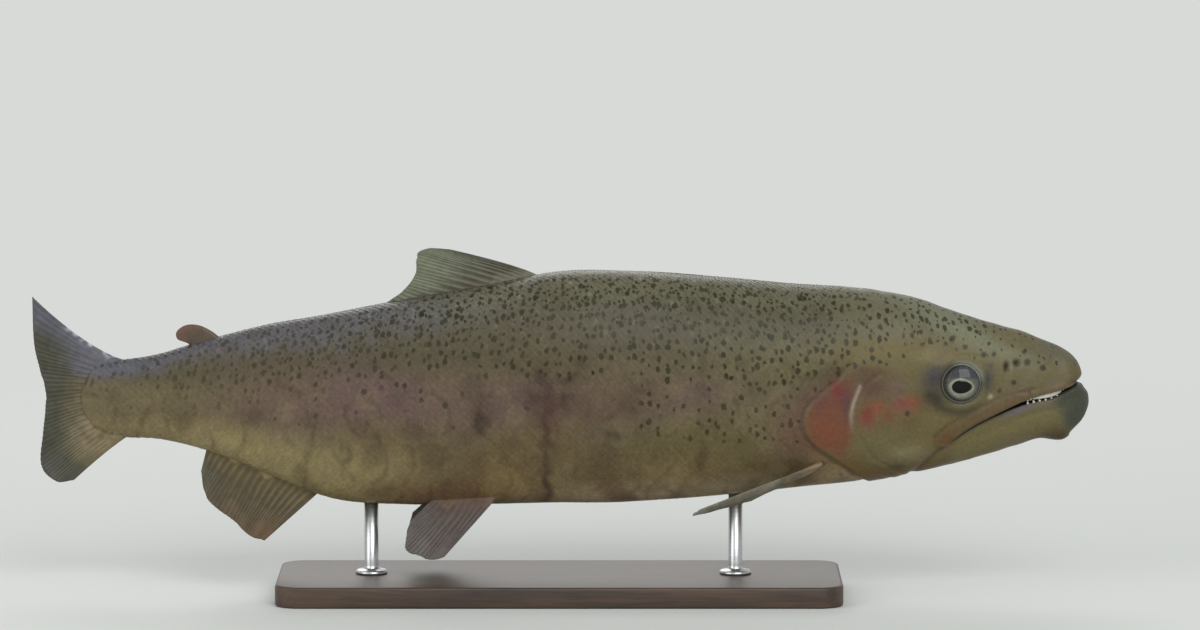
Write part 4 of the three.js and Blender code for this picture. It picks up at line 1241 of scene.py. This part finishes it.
def build_fish():
    """The fish's pieces: skin, four coats of scales, rayed fins, the fleshy fin, eyes and teeth."""
    points, faces, uv, plain, hide, shown, lie = skin()
    marks = markings(plain)
    marks["spotted"] *= shown
    marks["flecked"] *= shown
    moist = spotted_skin("varnished_fish_skin", 0.42, 0.12)
    piece = make_mesh("trout_skin", points, faces, moist, uv, True, hide=hide, skin_lie=lie, **marks)
    place(piece, "skin", *FLESH)

    roots = scale_roots()
    heights = section(roots[:, 0], roots[:, 1])
    roots = roots[collar_offset(heights[:, 0], heights[:, 2]) < SCALES_END]
    scaled = spotted_skin("varnished_scales", 0.4, 0.05)
    upper, left = np.cos(roots[:, 1]) > 0.05, roots[:, 1] > 0
    for name, kept in {
        "scales_left_upper": left & upper,
        "scales_left_lower": left & ~upper,
        "scales_right_upper": ~left & upper,
        "scales_right_lower": ~left & ~upper,
    }.items():
        flat, faces, uv, lie, tone_and_glint = scales(roots[kept], len(name))
        # each scale's colour carries its own tone and, on a few, a painted highlight
        marks = {"hide": hide_colour(flat) * tone_and_glint, "skin_lie": lie, **markings(flat)}
        piece = make_mesh(name, pose(flat), faces, scaled, uv, **marks)
        sharpen_rims(piece.data)
        place(piece, "scales")

    rayed = painted("fin_membrane", 0.42, 3, 0.1, 0.3, 0.3)
    for seed, (name, fin) in enumerate(FINS.items()):
        points, faces, *grid = fin_surface(fin, seed + 20)
        paint = fin_paint(name, points, *grid)
        place(make_mesh(name + "_rays", pose(points), faces, rayed, paint=paint), "fins", name)

    glassy = painted("glass_eye", 0.3, 2, 0.4, 0.03, 0)
    lid = painted("lid_rim", 0.5, 2, 0.05, 0.3, 0.25)
    ivory = painted("cast_teeth", 0.3, 1, 0.4, 0.15, 0.5)
    for name, (points, faces, paint), material, slot, *nodes in (
        ("adipose_fin_flesh", adipose_surface(), rayed, "fins", "adipose_fin"),
        ("eyeball_left", eye_surface(1), glassy, "eyes", "eye_left"),
        ("eye_rim_left", eye_rim(1), lid, "skin"),
        ("eyeball_right", eye_surface(-1), glassy, "eyes", "eye_right"),
        ("eye_rim_right", eye_rim(-1), lid, "skin"),
        ("teeth_rows", teeth(), ivory, "teeth"),
    ):
        place(make_mesh(name, pose(points), faces, material, paint=paint), slot, *nodes)


def build_stand():
    """The stand's board and its two rods, each in a turned collar."""
    points, faces = base_board()
    place(make_mesh("stand_base_board", points, faces, stained_wood()), "stand_wood", "stand_base")
    steel, floor = brushed_steel(), BASE["thickness"]
    collar = [(9, 0), (9, 1.6), (8.2, 2.4), (4.9, 2.8), (4.2, 3.6), (ROD_RADIUS, 5)]
    for name, (x_at, y_at) in ROD_PLACES.items():
        top = AXIS_HEIGHT + float(along(BODY, x_at, 2)) + ROD_SUNK
        profile = [(radius, floor + height) for radius, height in collar] + [(ROD_RADIUS, top)]
        points, faces = turned_post(x_at, y_at, profile)
        piece = make_mesh("stand_post_" + name, points, faces, steel)
        place(piece, "stand_steel", "stand_rod_" + name)


build_fish()
build_stand()

# ---- stage
PALE = "#d8dad7"
CAMERA_LENS = 200
SENSOR = 36
FRAME_WIDTH = 0.68  # metres across the picture at the fish
ELEVATION = math.radians(6)
AIM = (0.023, 0, 0.16)  # where the camera looks
LAMP_AIM = (0, 0, 0.11)
FLOOR_RADIUS = 3.0  # metres, as everything on the stage
FLOOR_FADE = (0.4, 1.3)
AMBIENT = 0.58  # the world's strength as light
# Each soft box's place, its side and its power.
LAMPS = {
    "key": ((0.9, -2.55, 1.67), 1.95, 54),
    "fill": ((-2.1, -1.65, 1.0), 1.8, 24),
    "behind": ((-0.45, 2.4, 1.82), 2.1, 29),
}


def pale_floor():
    """A matt painted floor, pale grey, that fades out at its rim so that no edge shows."""
    matt = {"Base Color": rgba(PALE), "Roughness": 0.8}
    material, tree, shader = new_material("matt_pale_floor", specular=0.2, **matt)
    at = node(tree, "TexCoord", {}).outputs["Object"]
    far = node(tree, "VectorMath", [at], operation="LENGTH").outputs["Value"]
    fade = node(tree, "MapRange", [far, *FLOOR_FADE, 1, 0], interpolation_type="SMOOTHSTEP")
    feed(tree, shader, {"Alpha": fade})
    turn = turns(96)
    rim = xyz(np.cos(turn), np.sin(turn), 0) * FLOOR_RADIUS / MM
    return make_mesh("floor", rim, [np.arange(len(turn))[None]], material)


def area_light(name, place_at, size, power):
    """A square soft box at a place, turned to face the fish."""
    data = bpy.data.lights.new(name, "AREA")
    data.size = size
    data.energy = power
    lamp = added(name, data)
    lamp.visible_camera = False
    face(lamp, place_at, LAMP_AIM)


def face(thing, place_at, aim):
    """Puts a lamp or camera at a place, with its own -Z towards the aim and its +Y upwards."""
    back = unit(np.array(place_at) - aim)
    right = unit(np.cross((0, 0, 1), back))
    turned = np.eye(4)
    turned[:3] = np.stack([right, np.cross(back, right), back, place_at], 1)
    thing.matrix_world = Matrix(turned)


def build_stage():
    """The floor, three soft boxes, and a dim world that looks pale to camera and reflections."""
    pale_floor()
    for name, (place_at, size, power) in LAMPS.items():
        area_light(name, place_at, size, power)
    world = bpy.data.worlds.new("studio")
    bpy.context.scene.world = world
    world.use_nodes = True
    tree = world.node_tree
    tree.nodes.clear()
    path = node(tree, "LightPath", {}).outputs
    seen = node(tree, "Math", [path["Is Camera Ray"], path["Is Glossy Ray"]], operation="MAXIMUM")
    shown = node(tree, "Math", [seen, path["Is Transmission Ray"]], operation="MAXIMUM")
    ambient = node(tree, "Background", [rgba("#e9ecec"), AMBIENT])
    backdrop = node(tree, "Background", [rgba(PALE), 1])
    node(tree, "OutputWorld", [node(tree, "MixShader", [shown, ambient, backdrop])])



def build_camera():
    """A 200 mm lens at the fish's right side, a little above its axis."""
    data = bpy.data.cameras.new("camera")
    data.lens = CAMERA_LENS
    data.sensor_width = SENSOR
    camera = added("camera", data)
    bpy.context.scene.camera = camera
    distance = FRAME_WIDTH * CAMERA_LENS / SENSOR
    away = np.array([0, -math.cos(ELEVATION), math.sin(ELEVATION)])
    face(camera, AIM + distance * away, AIM)


build_stage()
build_camera()
bpy.context.scene.view_settings.view_transform = "Standard"
